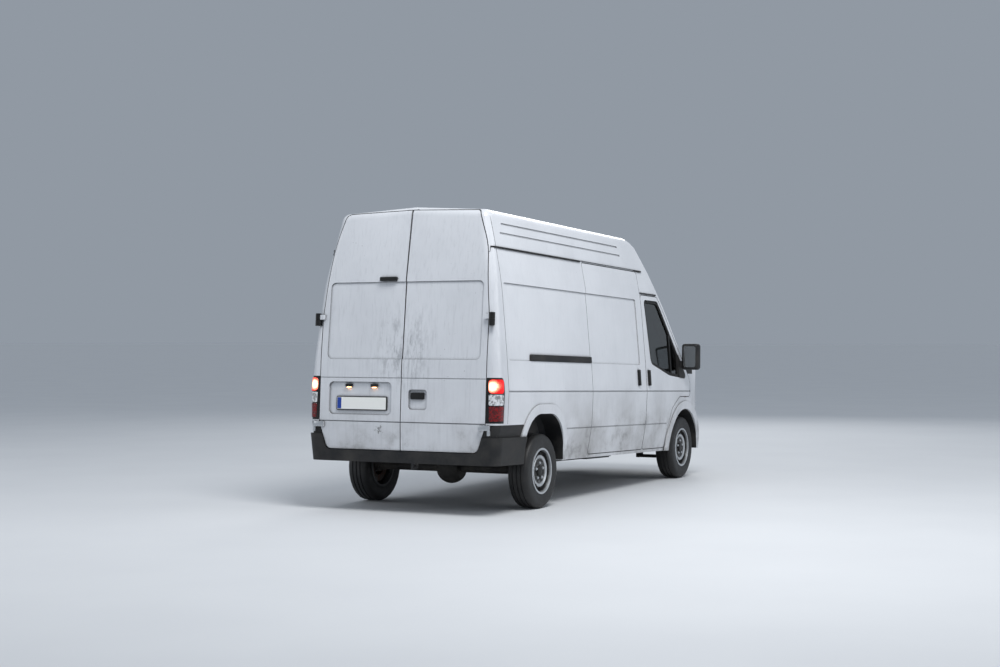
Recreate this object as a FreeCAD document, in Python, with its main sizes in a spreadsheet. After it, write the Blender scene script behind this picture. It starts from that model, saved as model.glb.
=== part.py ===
import FreeCAD, Part
import math
import os
import re

import Sketcher
from FreeCAD import Placement, Rotation, Vector

# Panel van, long wheelbase and high roof. Millimetres. While it is built, X runs forward from the
# rear face, Y to the left and Z up from the road; the finished van is centred on the origin.
# Everything that the springs carry stands nose down by the rake, about the rear axle.

# Driving dimensions: alias, value, and what it measures
SIZES = (
    ("length", 5680, "rear face to the foremost point of the nose"),
    ("wheelbase", 3750, "rear axle to front axle"),
    ("rear_overhang", 997, "rear face to rear axle"),
    ("rake", 1.6, "nose-down lean of the sprung body, degrees"),
    ("wall", 60, "side wall, roof and door thickness"),
    ("gap", 8, "open seam round a door"),
    ("seat_gap", 0.3, "running clearance at seals and pins"),
    ("frame_depth", 20, "depth of the door frame behind the wall"),
    ("frame_lap", 25, "how far a door frame reaches each side of the seam"),
    ("sill_z", 432, "bottom edge of the sides"),
    ("sill_half", 925, "half width at the sill"),
    ("low_z", 750, "height of the lower side fold"),
    ("low_half", 978, "half width at the lower fold"),
    ("shoulder_z", 1085, "height of the shoulder step"),
    ("shoulder_half", 990, "half width below the shoulder step"),
    ("shoulder_line", 14, "height of the shoulder line"),
    ("mid_z", 1450, "height of the middle side fold"),
    ("mid_half", 962, "half width at the middle fold"),
    ("upper_z", 2070, "height of the upper side fold"),
    ("upper_half", 902, "half width at the upper fold"),
    ("drip_z", 2385, "height of the drip rail"),
    ("drip_half", 840, "half width at the drip rail"),
    ("cap_z", 2730, "height of the roof edge"),
    ("cap_half", 772, "half width at the roof edge"),
    ("cap_radius", 85, "rounding of the roof edge"),
    ("roof_z", 2775, "top of the roof"),
    ("brow_z", 2640, "height where the front of the roof turns back again"),
    ("brow_low_run", 1.15, "run of the roof front for each unit of height, from the drip rail up"),
    ("brow_high_run", 2.6, "the same above the upper fold"),
    ("rear_low_x", 8, "rear face at the sill"),
    ("rear_fold_x", -15, "rear face at the door fold"),
    ("rear_fold_z", 800, "height of the door fold"),
    ("rear_mid_z", 1370, "height where the rear face starts to lean"),
    ("rear_upper_x", 58, "rear face at the upper fold"),
    ("rear_top_x", 175, "rear face at the roof"),
    ("rear_corner", 85, "rounding of the rear corners"),
    ("screen_base_x", 4760, "foot of the windscreen at its sides"),
    ("screen_base_z", 1453, "height of the windscreen foot"),
    ("screen_run", 0.94, "windscreen run for each unit of height"),
    ("screen_bow", 2040, "radius of the windscreen across the van"),
    ("screen_half", 880, "half width of the bowed front"),
    ("screen_top_z", 2085, "top edge of the windscreen"),
    ("screen_top_half", 690, "half width of the glass at the top"),
    ("screen_low_half", 800, "half width of the glass at the foot"),
    ("screen_glass", 8, "windscreen thickness"),
    ("bonnet_rear_z", 1440, "height of the bonnet at the windscreen"),
    ("bonnet_mid_x", 5290, "where the bonnet turns down"),
    ("bonnet_mid_z", 1325, "height where the bonnet turns down"),
    ("nose_x", 5590, "lower front edge of the bonnet"),
    ("nose_z", 1050, "height of that edge"),
    ("bumper_top_z", 640, "top of the front bumper"),
    ("front_corner_x", 5130, "where the sides start to turn in at the front"),
    ("front_shoulder_half", 700, "half width at the front corners"),
    ("front_shoulder_x", 5585, "front corner"),
    ("bonnet_half", 690, "half width of the bonnet"),
    ("bonnet_start_x", 5010, "rear edge of the bonnet"),
    ("bonnet_end_x", 5555, "front edge of the bonnet"),
    ("door_rear_x", 3560, "rear edge of the front doors"),
    ("door_low_z", 470, "bottom edge of the side doors"),
    ("door_top_z", 2125, "top edge of the front doors"),
    ("door_front_x", 4900, "foremost point of the front doors"),
    ("door_hinge_x", 4902, "front door hinge line"),
    ("door_hinge_y", 990, "front door hinge line from the middle"),
    ("bonnet_hinge_z", 1398, "height of the bonnet hinge line"),
    ("pillar_width", 75, "windscreen pillar, along the van"),
    ("slide_rear_x", 2095, "rear edge of the sliding door"),
    ("slide_front_x", 3548, "front edge of the sliding door"),
    ("slide_top_z", 2372, "top edge of the sliding door"),
    ("glass_depth", 16, "how far door glass lies inside the skin"),
    ("glass_thick", 6, "door glass thickness"),
    ("press_depth", 11, "depth of the pressed panels"),
    ("groove_depth", 7, "depth of the pressed lines"),
    ("plate_depth", 22, "depth of the recesses for plate and handle"),
    ("inner_depth", 28, "depth of the pressed panels inside the rear doors"),
    ("arch_front_radius", 437, "opening of the front wheel arch"),
    ("arch_rear_half", 432, "half width of the rear wheel arch"),
    ("arch_rear_top", 885, "top of the rear wheel arch"),
    ("flare_width", 88, "width of the arch flare"),
    ("flare_out", 12, "how far the flare stands out"),
    ("bumper_out", 25, "how far the rear bumper stands out"),
    ("rear_door_half", 862, "half width of the rear doors"),
    ("rear_door_low_half", 780, "half width of the rear doors at the bottom"),
    ("rear_door_low_z", 545, "bottom edge of the rear doors"),
    ("rear_door_top_z", 2722, "top edge of the rear doors"),
    ("rear_door_top_half", 690, "half width of the rear doors at the top"),
    ("rear_door_drip_half", 800, "half width of the rear doors at the drip rail"),
    ("rear_hinge_x", -36, "rear door hinge line behind the rear face"),
    ("rear_hinge_y", 906, "rear door hinge line from the middle"),
    ("rear_hinge_lean", 2.5, "forward lean of the rear door hinge line, degrees"),
    ("rear_hinge_low_z", 700, "lower rear door hinge"),
    ("rear_hinge_high_z", 1690, "upper rear door hinge"),
    ("rear_hinge_long", 90, "length of a rear door hinge"),
    ("rear_hinge_radius", 13, "radius of a rear hinge barrel"),
    ("floor_z", 700, "top of the load floor"),
    ("floor_thick", 60, "depth of the floor and its ribs"),
    ("cab_floor_z", 640, "top of the cab floor"),
    ("bulkhead_x", 3470, "rear face of the bulkhead"),
    ("bulkhead_thick", 30, "bulkhead thickness"),
    ("dash_x", 4560, "front face of the cab floor and fire wall"),
    ("scuttle_z", 1285, "top of the fire wall and the shelf before it"),
    ("gearbox_x", 4080, "rear end of the gearbox"),
    ("rail_y", 450, "middle of a chassis rail"),
    ("rail_wide", 70, "width of a chassis rail"),
    ("rail_deep", 110, "depth of a chassis rail"),
    ("eye_x", 165, "towing eye, forward of the rear face"),
    ("eye_z", 410, "height of the towing eye"),
    ("eye_radius", 18, "bore of the rear towing eye"),
    ("tyre_radius", 350, "rolling radius of the tyres"),
    ("tyre_width", 205, "tyre section"),
    ("rim_radius", 205, "rim radius at the bead"),
    ("rim_barrel", 185, "inside of the rim barrel"),
    ("hand_hole_ring", 161, "wheel centre to the middle of a hand hole"),
    ("hand_hole", 13, "radius of a hand hole"),
    ("track_half", 858, "middle of the van to the middle of a tyre"),
    ("kingpin_y", 740, "steering axis from the middle"),
    ("hub_radius", 62, "wheel hub"),
    ("axle_radius", 42, "rear axle tube"),
    ("mirror_out", 1195, "outer edge of a mirror"),
    ("sail_x", 4560, "rear edge of the panel that carries a mirror"),
    ("sail_out", 6, "how far that panel stands out"),
    ("steer_ring", 190, "steering wheel radius"),
    ("steer_x", 4130, "steering wheel centre"),
    ("steer_y", 420, "steering wheel from the middle"),
    ("steer_z", 1240, "height of the steering wheel centre"),
    ("steer_hub", 42, "steering wheel centre to the end of its column"),
    ("column_lean", 118, "direction of the steering column, degrees from straight up"),
    ("column_radius", 30, "radius of the steering column"),
    ("column_end", 320, "steering wheel centre to the far end of the column"),
    ("steer_bar", 15, "radius of the steering wheel's rim"),
    ("steer_boss_radius", 48, "radius of the steering wheel's boss"),
    ("spoke_wide", 36, "width of a spoke"),
    ("spoke_thick", 14, "thickness of a spoke"),
    ("handle_half", 18, "half width of a door handle"),
    ("handle_low", 70, "foot of a door handle above the shoulder"),
    ("handle_high", 230, "top of a door handle above the shoulder"),
    ("handle_out", 22, "how far a door handle stands out"),
    ("mirror_wide", 200, "width of a mirror head"),
    ("mirror_low", 120, "mirror head below the foot of the windscreen"),
    ("mirror_high", 175, "mirror head above the foot of the windscreen"),
    ("mirror_soft", 35, "rounding of a mirror head"),
    ("slot_half", 430, "half width of the grille slots"),
    ("slot_first", 60, "foot of the lowest grille slot above the bumper"),
    ("slot_pitch", 85, "one grille slot to the next"),
    ("slot_tall", 45, "height of a grille slot"),
    ("intake_half", 420, "half width of the air intake in the bumper"),
    ("hub_reach", 49.7, "middle of a tyre to the end of its hub"),
    ("hub_long", 120, "length of a rear hub"),
    ("casing_radius", 150, "rear axle casing"),
    ("casing_half", 110, "half width of the casing"),
    ("casing_rise", 118, "top of the casing above the axle"),
    ("shaft_radius", 38, "drive shaft"),
    ("engine_half", 280, "half width of the engine"),
    ("engine_top_z", 1130, "top of the engine"),
    ("engine_back", 60, "fire wall to the back of the engine"),
    ("gearbox_half", 130, "half width of the gearbox"),
    ("gearbox_low_z", 330, "bottom of the gearbox"),
    ("spring_y", 560, "middle of a leaf spring"),
    ("spring_half", 35, "half width of a leaf spring"),
    ("spring_reach", 640, "axle to an end of a leaf spring"),
    ("spring_rise", 120, "ends of a leaf spring above the axle"),
    ("spring_thick", 25, "thickness of a leaf spring at its ends"),
    ("tank_rear_x", 2400, "rear end of the fuel tank"),
    ("tank_front_x", 2990, "front end of the fuel tank"),
    ("tank_y", 790, "outer side of the fuel tank"),
    ("tank_low_z", 400, "bottom of the fuel tank"),
    ("pipe_y", 250, "exhaust from the middle"),
    ("pipe_drop", 120, "exhaust below the top of the frame"),
    ("pipe_radius", 28, "exhaust pipe"),
    ("pipe_end_x", 1700, "end of the exhaust pipe"),
    ("silencer_radius", 95, "silencer"),
    ("silencer_rear_x", 2400, "rear end of the silencer"),
    ("silencer_front_x", 2950, "front end of the silencer"),
    ("strut_radius", 22, "front strut"),
    ("upright_low", 93.7, "foot of a steered upright below the axle"),
    ("upright_high", 158.7, "top of a steered upright above the axle"),
    ("cowl_low_z", 1290, "bottom of the cowl panel"),
    ("cowl_high_z", 1470, "top of the cowl panel"),
    ("rail_cover_long", 1405, "length of the sliding door's rail cover"),
    ("rail_cover_low", 4, "foot of the rail cover above the waist"),
    ("rail_cover_high", 62, "top of the rail cover above the waist"),
    ("rail_cover_out", 7, "how far the rail cover stands out"),
    ("mirror_front", 330, "front of a mirror head behind the door's front edge"),
    ("mirror_rear", 215, "back of a mirror head behind the door's front edge"),
    ("arm_start_y", 880, "root of a mirror arm from the middle"),
    ("tail_lamp_tall", 412, "height of a tail lamp above the fold"),
    ("intake_low", 20, "foot of the air intake above the sill"),
    ("intake_high", 60, "top of the air intake below the bumper's top"),
    ("rib_first_x", 160, "rearmost rib under the load floor"),
    ("rib_pitch", 560, "one floor rib to the next"),
    ("rib_wide", 60, "width of a floor rib"),
    ("rib_half", 880, "half length of a floor rib"),
    ("frame_rear_x", 140, "rear end of the frame's side rails"),
    ("cross_wide", 60, "width of a cross-member"),
    ("cross_deep", 70, "depth of a cross-member"),
    ("outrigger_wide", 50, "width of an outrigger"),
    ("outrigger_deep", 60, "depth of an outrigger"),
    ("outrigger_y", 780, "outer end of an outrigger"),
    ("dash_low_z", 1010, "bottom of the dashboard"),
    ("dash_top_z", 1275, "top of the dashboard"),
    ("dash_deep", 300, "how far the dashboard reaches back"),
    ("driver_seat_near", 180, "inner side of the driver's seat"),
    ("driver_seat_far", 660, "outer side of the driver's seat"),
    ("bench_near", 120, "inner end of the bench"),
    ("bench_far", 680, "outer end of the bench"),
)

doc = FreeCAD.newDocument("PanelVan")
sheet = doc.addObject("Spreadsheet::Sheet", "Sizes")
for row, (alias, value, note) in enumerate(SIZES, start=1):
    sheet.set(f"A{row}", note)
    sheet.set(f"B{row}", str(value))
    sheet.setAlias(f"B{row}", alias)
doc.recompute()
ALIASES = {alias for alias, value, note in SIZES}


def linked(text):
    """An expression with each size name pointed at its cell."""
    return re.sub(r"[a-z]\w+", lambda word: ("Sizes." if word.group() in ALIASES else "") + word.group(),
                  str(text))


def size(text):
    """The present value of an expression of sizes."""
    value = sheet.evalExpression(linked(text))
    return float(getattr(value, "Value", value))


def bind(feature, **expressions):
    """Ties properties of a feature to expressions of sizes; a double underscore stands for a dot."""
    for name, text in expressions.items():
        feature.setExpression(name.replace("__", "."), linked(text))


# Sketches stand on three planes: side is X and Z, plan is X and Y, end is Y and Z
PLANES = {
    "side": (Rotation(Vector(1, 0, 0), 90), Vector(0, 1, 0)),
    "plan": (Rotation(), Vector(0, 0, 1)),
    "end": (Rotation(Vector(1, 1, 1), 120), Vector(1, 0, 0)),
}


def draw(sketch, points):
    """A closed outline in a sketch, from corners (across, up, rounding) given as expressions."""
    corners = [Vector(size(across), size(up), 0) for across, up, rounding in points]
    radii = [size(rounding) for across, up, rounding in points]
    count = len(points)
    ends, arcs = [], {}
    for index, corner in enumerate(corners):
        before = (corners[index - 1] - corner).normalize()
        after = (corners[(index + 1) % count] - corner).normalize()
        if radii[index] == 0:
            ends.append((corner, corner))
            continue
        half = math.acos(max(-1, min(1, before.dot(after)))) / 2
        reach = radii[index] / math.tan(half)
        first, last = corner + before * reach, corner + after * reach
        centre = corner + (before + after).normalize() * (radii[index] / math.sin(half))
        start, stop = first - centre, last - centre
        left = start.cross(stop).z > 0
        turns = [math.atan2(start.y, start.x), math.atan2(stop.y, stop.x)]
        ends.append((first, last))
        arcs[index] = (centre, turns if left else turns[::-1], left)
    for index in range(count):
        sketch.addGeometry(Part.LineSegment(ends[index][1], ends[(index + 1) % count][0]), False)
    rules = []
    for index in range(count):
        before, after = (index - 1) % count, index
        if index not in arcs:
            rules.append(Sketcher.Constraint("Coincident", before, 2, after, 1))
            continue
        centre, turns, left = arcs[index]
        circle = Part.Circle(centre, Vector(0, 0, 1), radii[index])
        arc = sketch.addGeometry(Part.ArcOfCircle(circle, *turns), False)
        rules.append(Sketcher.Constraint("Tangent", before, 2, arc, 1 if left else 2))
        rules.append(Sketcher.Constraint("Tangent", arc, 2 if left else 1, after, 1))
    sketch.addConstraint(rules)
    for index, (across, up, rounding) in enumerate(points):
        if index in arcs:
            arc = count + list(arcs).index(index)
            tie(sketch, sketch.addConstraint(Sketcher.Constraint("Radius", arc, radii[index])), rounding)
            mark = sketch.addGeometry(Part.Point(corners[index]), True)
            sketch.addConstraint(Sketcher.Constraint("PointOnObject", mark, 1, (index - 1) % count))
            sketch.addConstraint(Sketcher.Constraint("PointOnObject", mark, 1, index))
            spot = (mark, 1)
        else:
            spot = (index, 1)
        for kind, value, text in (("DistanceX", corners[index].x, across),
                                  ("DistanceY", corners[index].y, up)):
            tie(sketch, sketch.addConstraint(Sketcher.Constraint(kind, -1, 1, *spot, value)), text)


def tie(sketch, number, text):
    """Ties one dimension of a sketch to an expression, unless it is a plain number."""
    if not re.fullmatch(r"-?[\d.]+", str(text)):
        sketch.setExpression(f"Constraints[{number}]", linked(text))


def prism(name, plane, points, low, high, sign=1):
    """An outline drawn on a plane and carried along its normal from low to high; sign -1 mirrors it."""
    sketch = doc.addObject("Sketcher::SketchObject", name + "_outline")
    turn, normal = PLANES[plane]
    sketch.Placement = Placement(Vector(), turn)
    draw(sketch, points)
    return extrude(name, sketch, normal, low, high, sign)


def extrude(name, sketch, normal, low, high, sign=1):
    """A closed outline carried along a direction."""
    if sign < 0:
        low, high = f"-({high})", f"-({low})"
    body = doc.addObject("Part::Extrusion", name)
    body.Base = sketch
    body.DirMode = "Custom"
    body.Dir = normal
    body.Solid = True
    bind(body, LengthFwd=high, LengthRev=f"-({low})")
    return body


def box(name, x, y, z, sign=1):
    """A block between two expressions along each axis."""
    block = doc.addObject("Part::Box", name)
    y = y if sign > 0 else (f"-({y[1]})", f"-({y[0]})")
    bind(block, Length=f"({x[1]}) - ({x[0]})", Width=f"({y[1]}) - ({y[0]})", Height=f"({z[1]}) - ({z[0]})",
         Placement__Base__x=x[0], Placement__Base__y=y[0], Placement__Base__z=z[0])
    return block


def rod(name, radius, low, high, across, axis="y"):
    """A cylinder along an axis from low to high, at two expressions for its other coordinates."""
    tube = doc.addObject("Part::Cylinder", name)
    bind(tube, Radius=radius, Height=f"({high}) - ({low})")
    first, second = across
    turn, base = {
        "x": (Rotation(Vector(0, 1, 0), 90), (low, first, second)),
        "y": (Rotation(Vector(1, 0, 0), -90), (first, low, second)),
        "z": (Rotation(), (first, second, low)),
    }[axis]
    tube.Placement = Placement(Vector(), turn)
    bind(tube, Placement__Base__x=base[0], Placement__Base__y=base[1], Placement__Base__z=base[2])
    return tube


def fuse(name, *shapes):
    """One solid of several that meet."""
    joined = doc.addObject("Part::MultiFuse", name)
    joined.Shapes = list(shapes)
    joined.Refine = True
    return joined


def group(name, *shapes):
    """Solids of one sub-part that don't touch."""
    compound = doc.addObject("Part::Compound", name)
    compound.Links = list(shapes)
    return compound


def cut(name, base, *tools):
    """A shape with others taken out of it."""
    result = doc.addObject("Part::Cut", name)
    result.Base = base
    result.Tool = tools[0] if len(tools) == 1 else fuse(name + "_tools", *tools)
    return result


def common(name, first, *others):
    """What several shapes share."""
    for index, other in enumerate(others):
        last = index == len(others) - 1
        result = doc.addObject("Part::Common", name if last else f"{name}_{index}")
        result.Base, result.Tool = first, other
        first = result
    return first


NODES = []


def sprung(label, feature):
    """Names a sub-part of the sprung body and stands it on the springs with the rake."""
    NODES.append((label, feature))
    feature.Label = label
    feature.Placement = Placement(Vector(), Rotation(Vector(0, 1, 0), 1))
    bind(feature, Placement__Rotation__Angle="rake",
         Placement__Base__x="rear_overhang * (1 - cos(rake * 1deg)) - length / 2",
         Placement__Base__z="rear_overhang * sin(rake * 1deg)")


def unsprung(label, feature, x="0", y="0", z="0"):
    """Names a sub-part that stays level with the road."""
    NODES.append((label, feature))
    feature.Label = label
    bind(feature, Placement__Base__x=f"{x} - length / 2", Placement__Base__y=y, Placement__Base__z=z)


SIDES = (("left", 1), ("right", -1))

# How far tools reach past what they cut: across the van, out of a side wall, and at its rear end
FAR = 1300
ACROSS = (f"-{FAR}", f"{FAR}")
OUTBOARD = ("500", f"{FAR}")
BEHIND, AHEAD, ABOVE, OVER_NOSE = "-200", "length + 200", "3000", "1700"
REAR_END = (BEHIND, "500")

# The wheel centres as the level body sees them, before the rake turns it
REAR_X = "(rear_overhang - tyre_radius * sin(rake * 1deg))"
REAR_Z = "(tyre_radius * cos(rake * 1deg))"
FRONT_X = "(rear_overhang + wheelbase * cos(rake * 1deg) - tyre_radius * sin(rake * 1deg))"
FRONT_Z = "(wheelbase * sin(rake * 1deg) + tyre_radius * cos(rake * 1deg))"

# The outer form
SECTIONS = {}


def section(name, inset):
    """The van's cross-section, drawn in by an inset and run from end to end."""
    if inset in SECTIONS:
        return SECTIONS[inset]
    right = (("sill_half", "sill_z", 0), ("low_half", "low_z", 900), ("shoulder_half", "shoulder_z", 400),
             ("mid_half", "mid_z", 3000), ("upper_half", "upper_z", 3000), ("drip_half", "drip_z", 0))
    floor = "sill_z" if inset == "0" else "sill_z - 250"
    points = [(f"{half} - ({inset})", floor if index == 0 else up, rounding)
              for index, (half, up, rounding) in enumerate(right)]
    cap = (f"cap_half - ({inset})", f"cap_z - ({inset})", f"max(15; cap_radius - ({inset}))")
    points = points + [cap]
    mirrored = [(f"-({half})", up, rounding) for half, up, rounding in reversed(points)]
    crown = [("0", f"roof_z - ({inset})", 0)]
    SECTIONS[inset] = prism(name, "end", points + crown + mirrored, BEHIND, AHEAD)
    return SECTIONS[inset]


def rear_line(shift):
    """The rear face in side view from the sill to the roof, moved forward by a shift."""
    return [(f"rear_low_x + {shift}", "sill_z - 300", 0), (f"rear_fold_x + {shift}", "rear_fold_z", 600),
            (f"0 + {shift}", "rear_mid_z", 2000), (f"rear_upper_x + {shift}", "upper_z", 2500),
            (f"rear_top_x + {shift}", "roof_z + 40", 0)]


SCREEN_FOOT = ("screen_base_x", "screen_base_z")
BROW_FOOT = ("(screen_base_x - screen_run * (drip_z - screen_base_z))", "drip_z")
BROW_FOLD = (f"({BROW_FOOT[0]} - brow_low_run * (brow_z - drip_z))", "brow_z")


def screen(name, back, foot=SCREEN_FOOT, run="screen_run"):
    """All that lies behind the bowed windscreen, or behind a flatter sheet with its own foot and run."""
    sketch = doc.addObject("Sketcher::SketchObject", name + "_outline")
    bind(sketch, Placement__Base__z=foot[1])
    spread = "tan(asin(screen_half / screen_bow))"
    tip = f"{foot[0]} + screen_half * {spread} - ({back})"
    side = f"{foot[0]} - {FAR - 100} * {spread} + screen_half * {spread} - ({back})"
    draw(sketch, [("-300", f"-{FAR - 100}", 0), (side, f"-{FAR - 100}", 0), (tip, "0", "screen_bow"),
                  (side, f"{FAR - 100}", 0), ("-300", f"{FAR - 100}", 0)])
    lean = Vector(-size(run), 0, 1)
    steep = f"sqrt(1 + {run} ^ 2)"
    return extrude(name, sketch, lean, f"-180 * {steep}", f"1500 * {steep}")


def envelope(name, inset, floor):
    """The whole van as one block, drawn in by an inset and cut off level at a floor."""
    ahead = "length + 100"
    tail = rear_line(inset) + [(ahead, "roof_z + 40", 0), (ahead, "sill_z - 300", 0)]
    back = prism(name + "_back", "side", tail, *ACROSS)
    cab = prism(name + "_cab", "side", [(BEHIND, "1300", 0), (BEHIND, "roof_z + 40", 0),
                ("screen_base_x + 300", "roof_z + 40", 0), ("screen_base_x + 300", "1300", 0)], *ACROSS)
    cab = common(name + "_upper", cab, screen(name + "_screen", inset))
    profile = [(BEHIND, floor, 0), (BEHIND, "1340", 0), ("screen_base_x - 300", "1340", 0),
               (f"screen_base_x - ({inset})", f"bonnet_rear_z + 20 - ({inset})", 0),
               (f"bonnet_mid_x - ({inset})", f"bonnet_mid_z - ({inset})", 500),
               (f"nose_x + 30 - ({inset})", "nose_z - 60", 260), (f"length - ({inset})", "bumper_top_z - 60",
                                                                  500),
               (f"length - 30 - ({inset})", floor, 0)]
    side = prism(name + "_nose", "side", profile, *ACROSS)
    half = [("-300", "shoulder_half + 20", 0), ("front_corner_x", "shoulder_half + 20", 900),
            (f"front_shoulder_x - ({inset})", f"front_shoulder_half - ({inset}) / 2", 330)]
    mirrored = [(x, f"-({y})", rounding) for x, y, rounding in reversed(half)]
    tip = [(f"length - ({inset})", "0", 2600)]
    plan = prism(name + "_plan", "plan", half + tip + mirrored, "0", OVER_NOSE)
    block = fuse(name + "_block", cab, common(name + "_lower", side, plan))
    return common(name, block, section(name + "_section", inset), back)


def browed(name, block, inset):
    """The van with the front of its roof cut back in two steps above the drip rail."""
    brows = []
    for row, (foot, run) in enumerate(((BROW_FOOT, "brow_low_run"), (BROW_FOLD, "brow_high_run"))):
        ahead = box(f"{name}_block_{row}", ("slide_rear_x", "length"), ACROSS, (foot[1], "roof_z + 60"))
        brows.append(cut(f"{name}_brow_{row}", ahead,
                         screen(f"{name}_sheet_{row}", f"({inset}) * {run}", foot, run)))
    return cut(name, block, *brows)


def offset(name, base, grow, low, high, sign=1):
    """The outline of another prism, drawn larger or smaller and carried across the side."""
    line = doc.addObject("Part::Offset2D", name + "_outline")
    line.Source = base.Base
    bind(line, Value=grow)
    return extrude(name, line, base.Dir, low, high, sign)


def rounded(name, base, radius, low, high):
    """Rounds every edge that lies whole between two corners of space."""
    doc.recompute()
    low = [size(value) for value in low]
    high = [size(value) for value in high]
    chosen = []
    for index, edge in enumerate(base.Shape.Edges, start=1):
        span = edge.BoundBox
        ends = ((span.XMin, span.XMax), (abs(edge.CenterOfMass.y),) * 2, (span.ZMin, span.ZMax))
        if all(low[axis] <= ends[axis][0] and ends[axis][1] <= high[axis] for axis in range(3)):
            chosen.append((index, size(radius), size(radius)))
    fillet = doc.addObject("Part::Fillet", name)
    fillet.Base = base
    fillet.Edges = chosen
    return fillet


hull_square = envelope("hull_square", "0", "sill_z")
hull_rounded = rounded("hull_rounded", hull_square, "rear_corner", ("-60", "500", "sill_z - 5"),
                       ("260", FAR, "roof_z - 20"))
hull = browed("hull", hull_rounded, "0")
room = browed("room", envelope("room_square", "wall", "sill_z - 200"), "wall")
shell = cut("shell", hull, room)


def behind(height, back):
    """A point on the side of the windscreen plane at a height, moved back."""
    return f"screen_base_x - screen_run * ({height} - screen_base_z) - ({back})"


SKINS = {}


def skin(name, outer, inner):
    """The layer of the sides and roof between two depths."""
    if (outer, inner) not in SKINS:
        SKINS[outer, inner] = cut(name, section(name + "_outer", outer), section(name + "_inner", inner))
    return SKINS[outer, inner]


def across(name, points, sign, low=OUTBOARD[0], high=OUTBOARD[1]):
    """An outline in side view carried through one side of the van."""
    return prism(name, "side", points, low, high, sign)


# Outlines of the side doors and their windows
FRONT_DOOR = [
    ("door_rear_x", "door_low_z", 40), ("door_rear_x", "door_top_z", 50),
    (behind("door_top_z", "pillar_width"), "door_top_z", 60),
    ("door_front_x - 30", "screen_base_z - (door_front_x - 30 + pillar_width - screen_base_x) / screen_run",
     30),
    ("door_front_x", "shoulder_z + 90", 40), ("door_front_x - 20", f"{FRONT_Z} + 580", 30),
    (f"{FRONT_X} - 180", f"{FRONT_Z} + 580", 160), (f"{FRONT_X} - 405", f"{FRONT_Z} + 445", 160),
    (f"{FRONT_X} - 522", f"{FRONT_Z} + 225", 120), (f"{FRONT_X} - 522", "door_low_z", 30),
]
FRONT_WINDOW = [
    ("door_rear_x + 152", "mid_z - 60", 90), ("door_rear_x + 80", "door_top_z - 45", 60),
    (behind("door_top_z - 45", "pillar_width + 45"), "door_top_z - 45", 50),
    ("door_front_x - 100", "shoulder_z + 145", 35), ("door_front_x - 640", "shoulder_z + 180", 600),
]
SLIDING_DOOR = [
    ("slide_rear_x", "door_low_z", 40), ("slide_rear_x", "slide_top_z", 30),
    ("slide_front_x", "slide_top_z", 30), ("slide_front_x", "door_low_z", 30),
]
doors_skin = skin("door_skin", "0", "wall - seat_gap")
frame_skin = common("frame_skin", skin("frame_layer", "wall", "wall + frame_depth"), room)


def door_frame(name, outline, sign):
    """The flange that a side door closes on, behind the seam."""
    return cut(name + "_ring", offset(name + "_out", outline, "frame_lap", *OUTBOARD, sign),
               offset(name + "_in", outline, "-frame_lap", "400", f"{FAR}", sign))


front_outline = {}
window_outline = {}
for side, sign in SIDES:
    front_outline[side] = across(f"front_door_form_{side}", FRONT_DOOR, sign)
    window_outline[side] = across(f"front_window_form_{side}", FRONT_WINDOW, sign)
slide_outline = across("sliding_door_form", SLIDING_DOOR, -1)

# Rear opening, the strip of the rear face that its doors fill


def rear_outline(side_sign, grow):
    """One rear door seen from behind; the middle seam leaves the gap."""
    middle = "gap / 2" if grow == "0" else "-60"
    corners = [(middle, f"rear_door_low_z - ({grow})", 0),
               (f"rear_door_low_half + {grow}", f"rear_door_low_z - ({grow})", 60),
               (f"rear_door_half + {grow}", "rear_fold_z - 20", 300),
               (f"rear_door_half + {grow}", "upper_z - 300", 900),
               (f"rear_door_drip_half + {grow}", "drip_z + 20", 900),
               (f"rear_door_top_half + {grow}", f"rear_door_top_z + {grow}", 45),
               (middle, f"rear_door_top_z + 18 + {grow}", 0)]
    if side_sign < 0:
        corners = [(f"-({y})", z, rounding) for y, z, rounding in corners]
    return corners


def rear_strip(name, depth, start="-60"):
    """What lies between two depths behind the rear face."""
    return prism(name, "side", rear_line(start) + rear_line(depth)[::-1], *ACROSS)


def rear_both(name, grow):
    """Both rear doors together, drawn larger or smaller."""
    return fuse(name, *[prism(f"{name}_{side}", "end", rear_outline(sign, grow), *REAR_END) for side,
                        sign in SIDES])


door_strip = rear_strip("rear_door_strip", "wall - seat_gap")
rear_opening = common("rear_opening", rear_both("rear_opening_form", "gap"),
                      rear_strip("rear_frame_strip", "wall"))
rear_ring = box("rear_ring_block", ("-100", "500"), ACROSS, ("floor_z - floor_thick", "roof_z"))
rear_flange = cut("rear_flange", common("rear_flange_layer", room, rear_ring,
                                        rear_strip("rear_flange_strip", "wall + frame_depth", "0")),
                  rear_both("rear_flange_hole", "-frame_lap"))

# Wheel arches
ARCH_REAR = [(f"{REAR_X} - arch_rear_half", "sill_z - 200", 0),
             (f"{REAR_X} - arch_rear_half", "arch_rear_top", 330),
             (f"{REAR_X} + arch_rear_half", "arch_rear_top", 330),
             (f"{REAR_X} + arch_rear_half", "sill_z - 200", 0)]
ARCH_FRONT = [(f"{FRONT_X} - arch_front_radius", f"{FRONT_Z} - 400", 0),
              (f"{FRONT_X} - arch_front_radius", f"{FRONT_Z} + arch_front_radius", "arch_front_radius - 1"),
              (f"{FRONT_X} + arch_front_radius", f"{FRONT_Z} + arch_front_radius", "arch_front_radius - 1"),
              (f"{FRONT_X} + arch_front_radius", f"{FRONT_Z} - 400", 0)]
ARCHES = (("rear", ARCH_REAR, "track_half - tyre_width / 2 - 25"),
          ("front", ARCH_FRONT, "rail_y + rail_wide / 2 + 40"))
arch_form, flare = {}, {}
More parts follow.
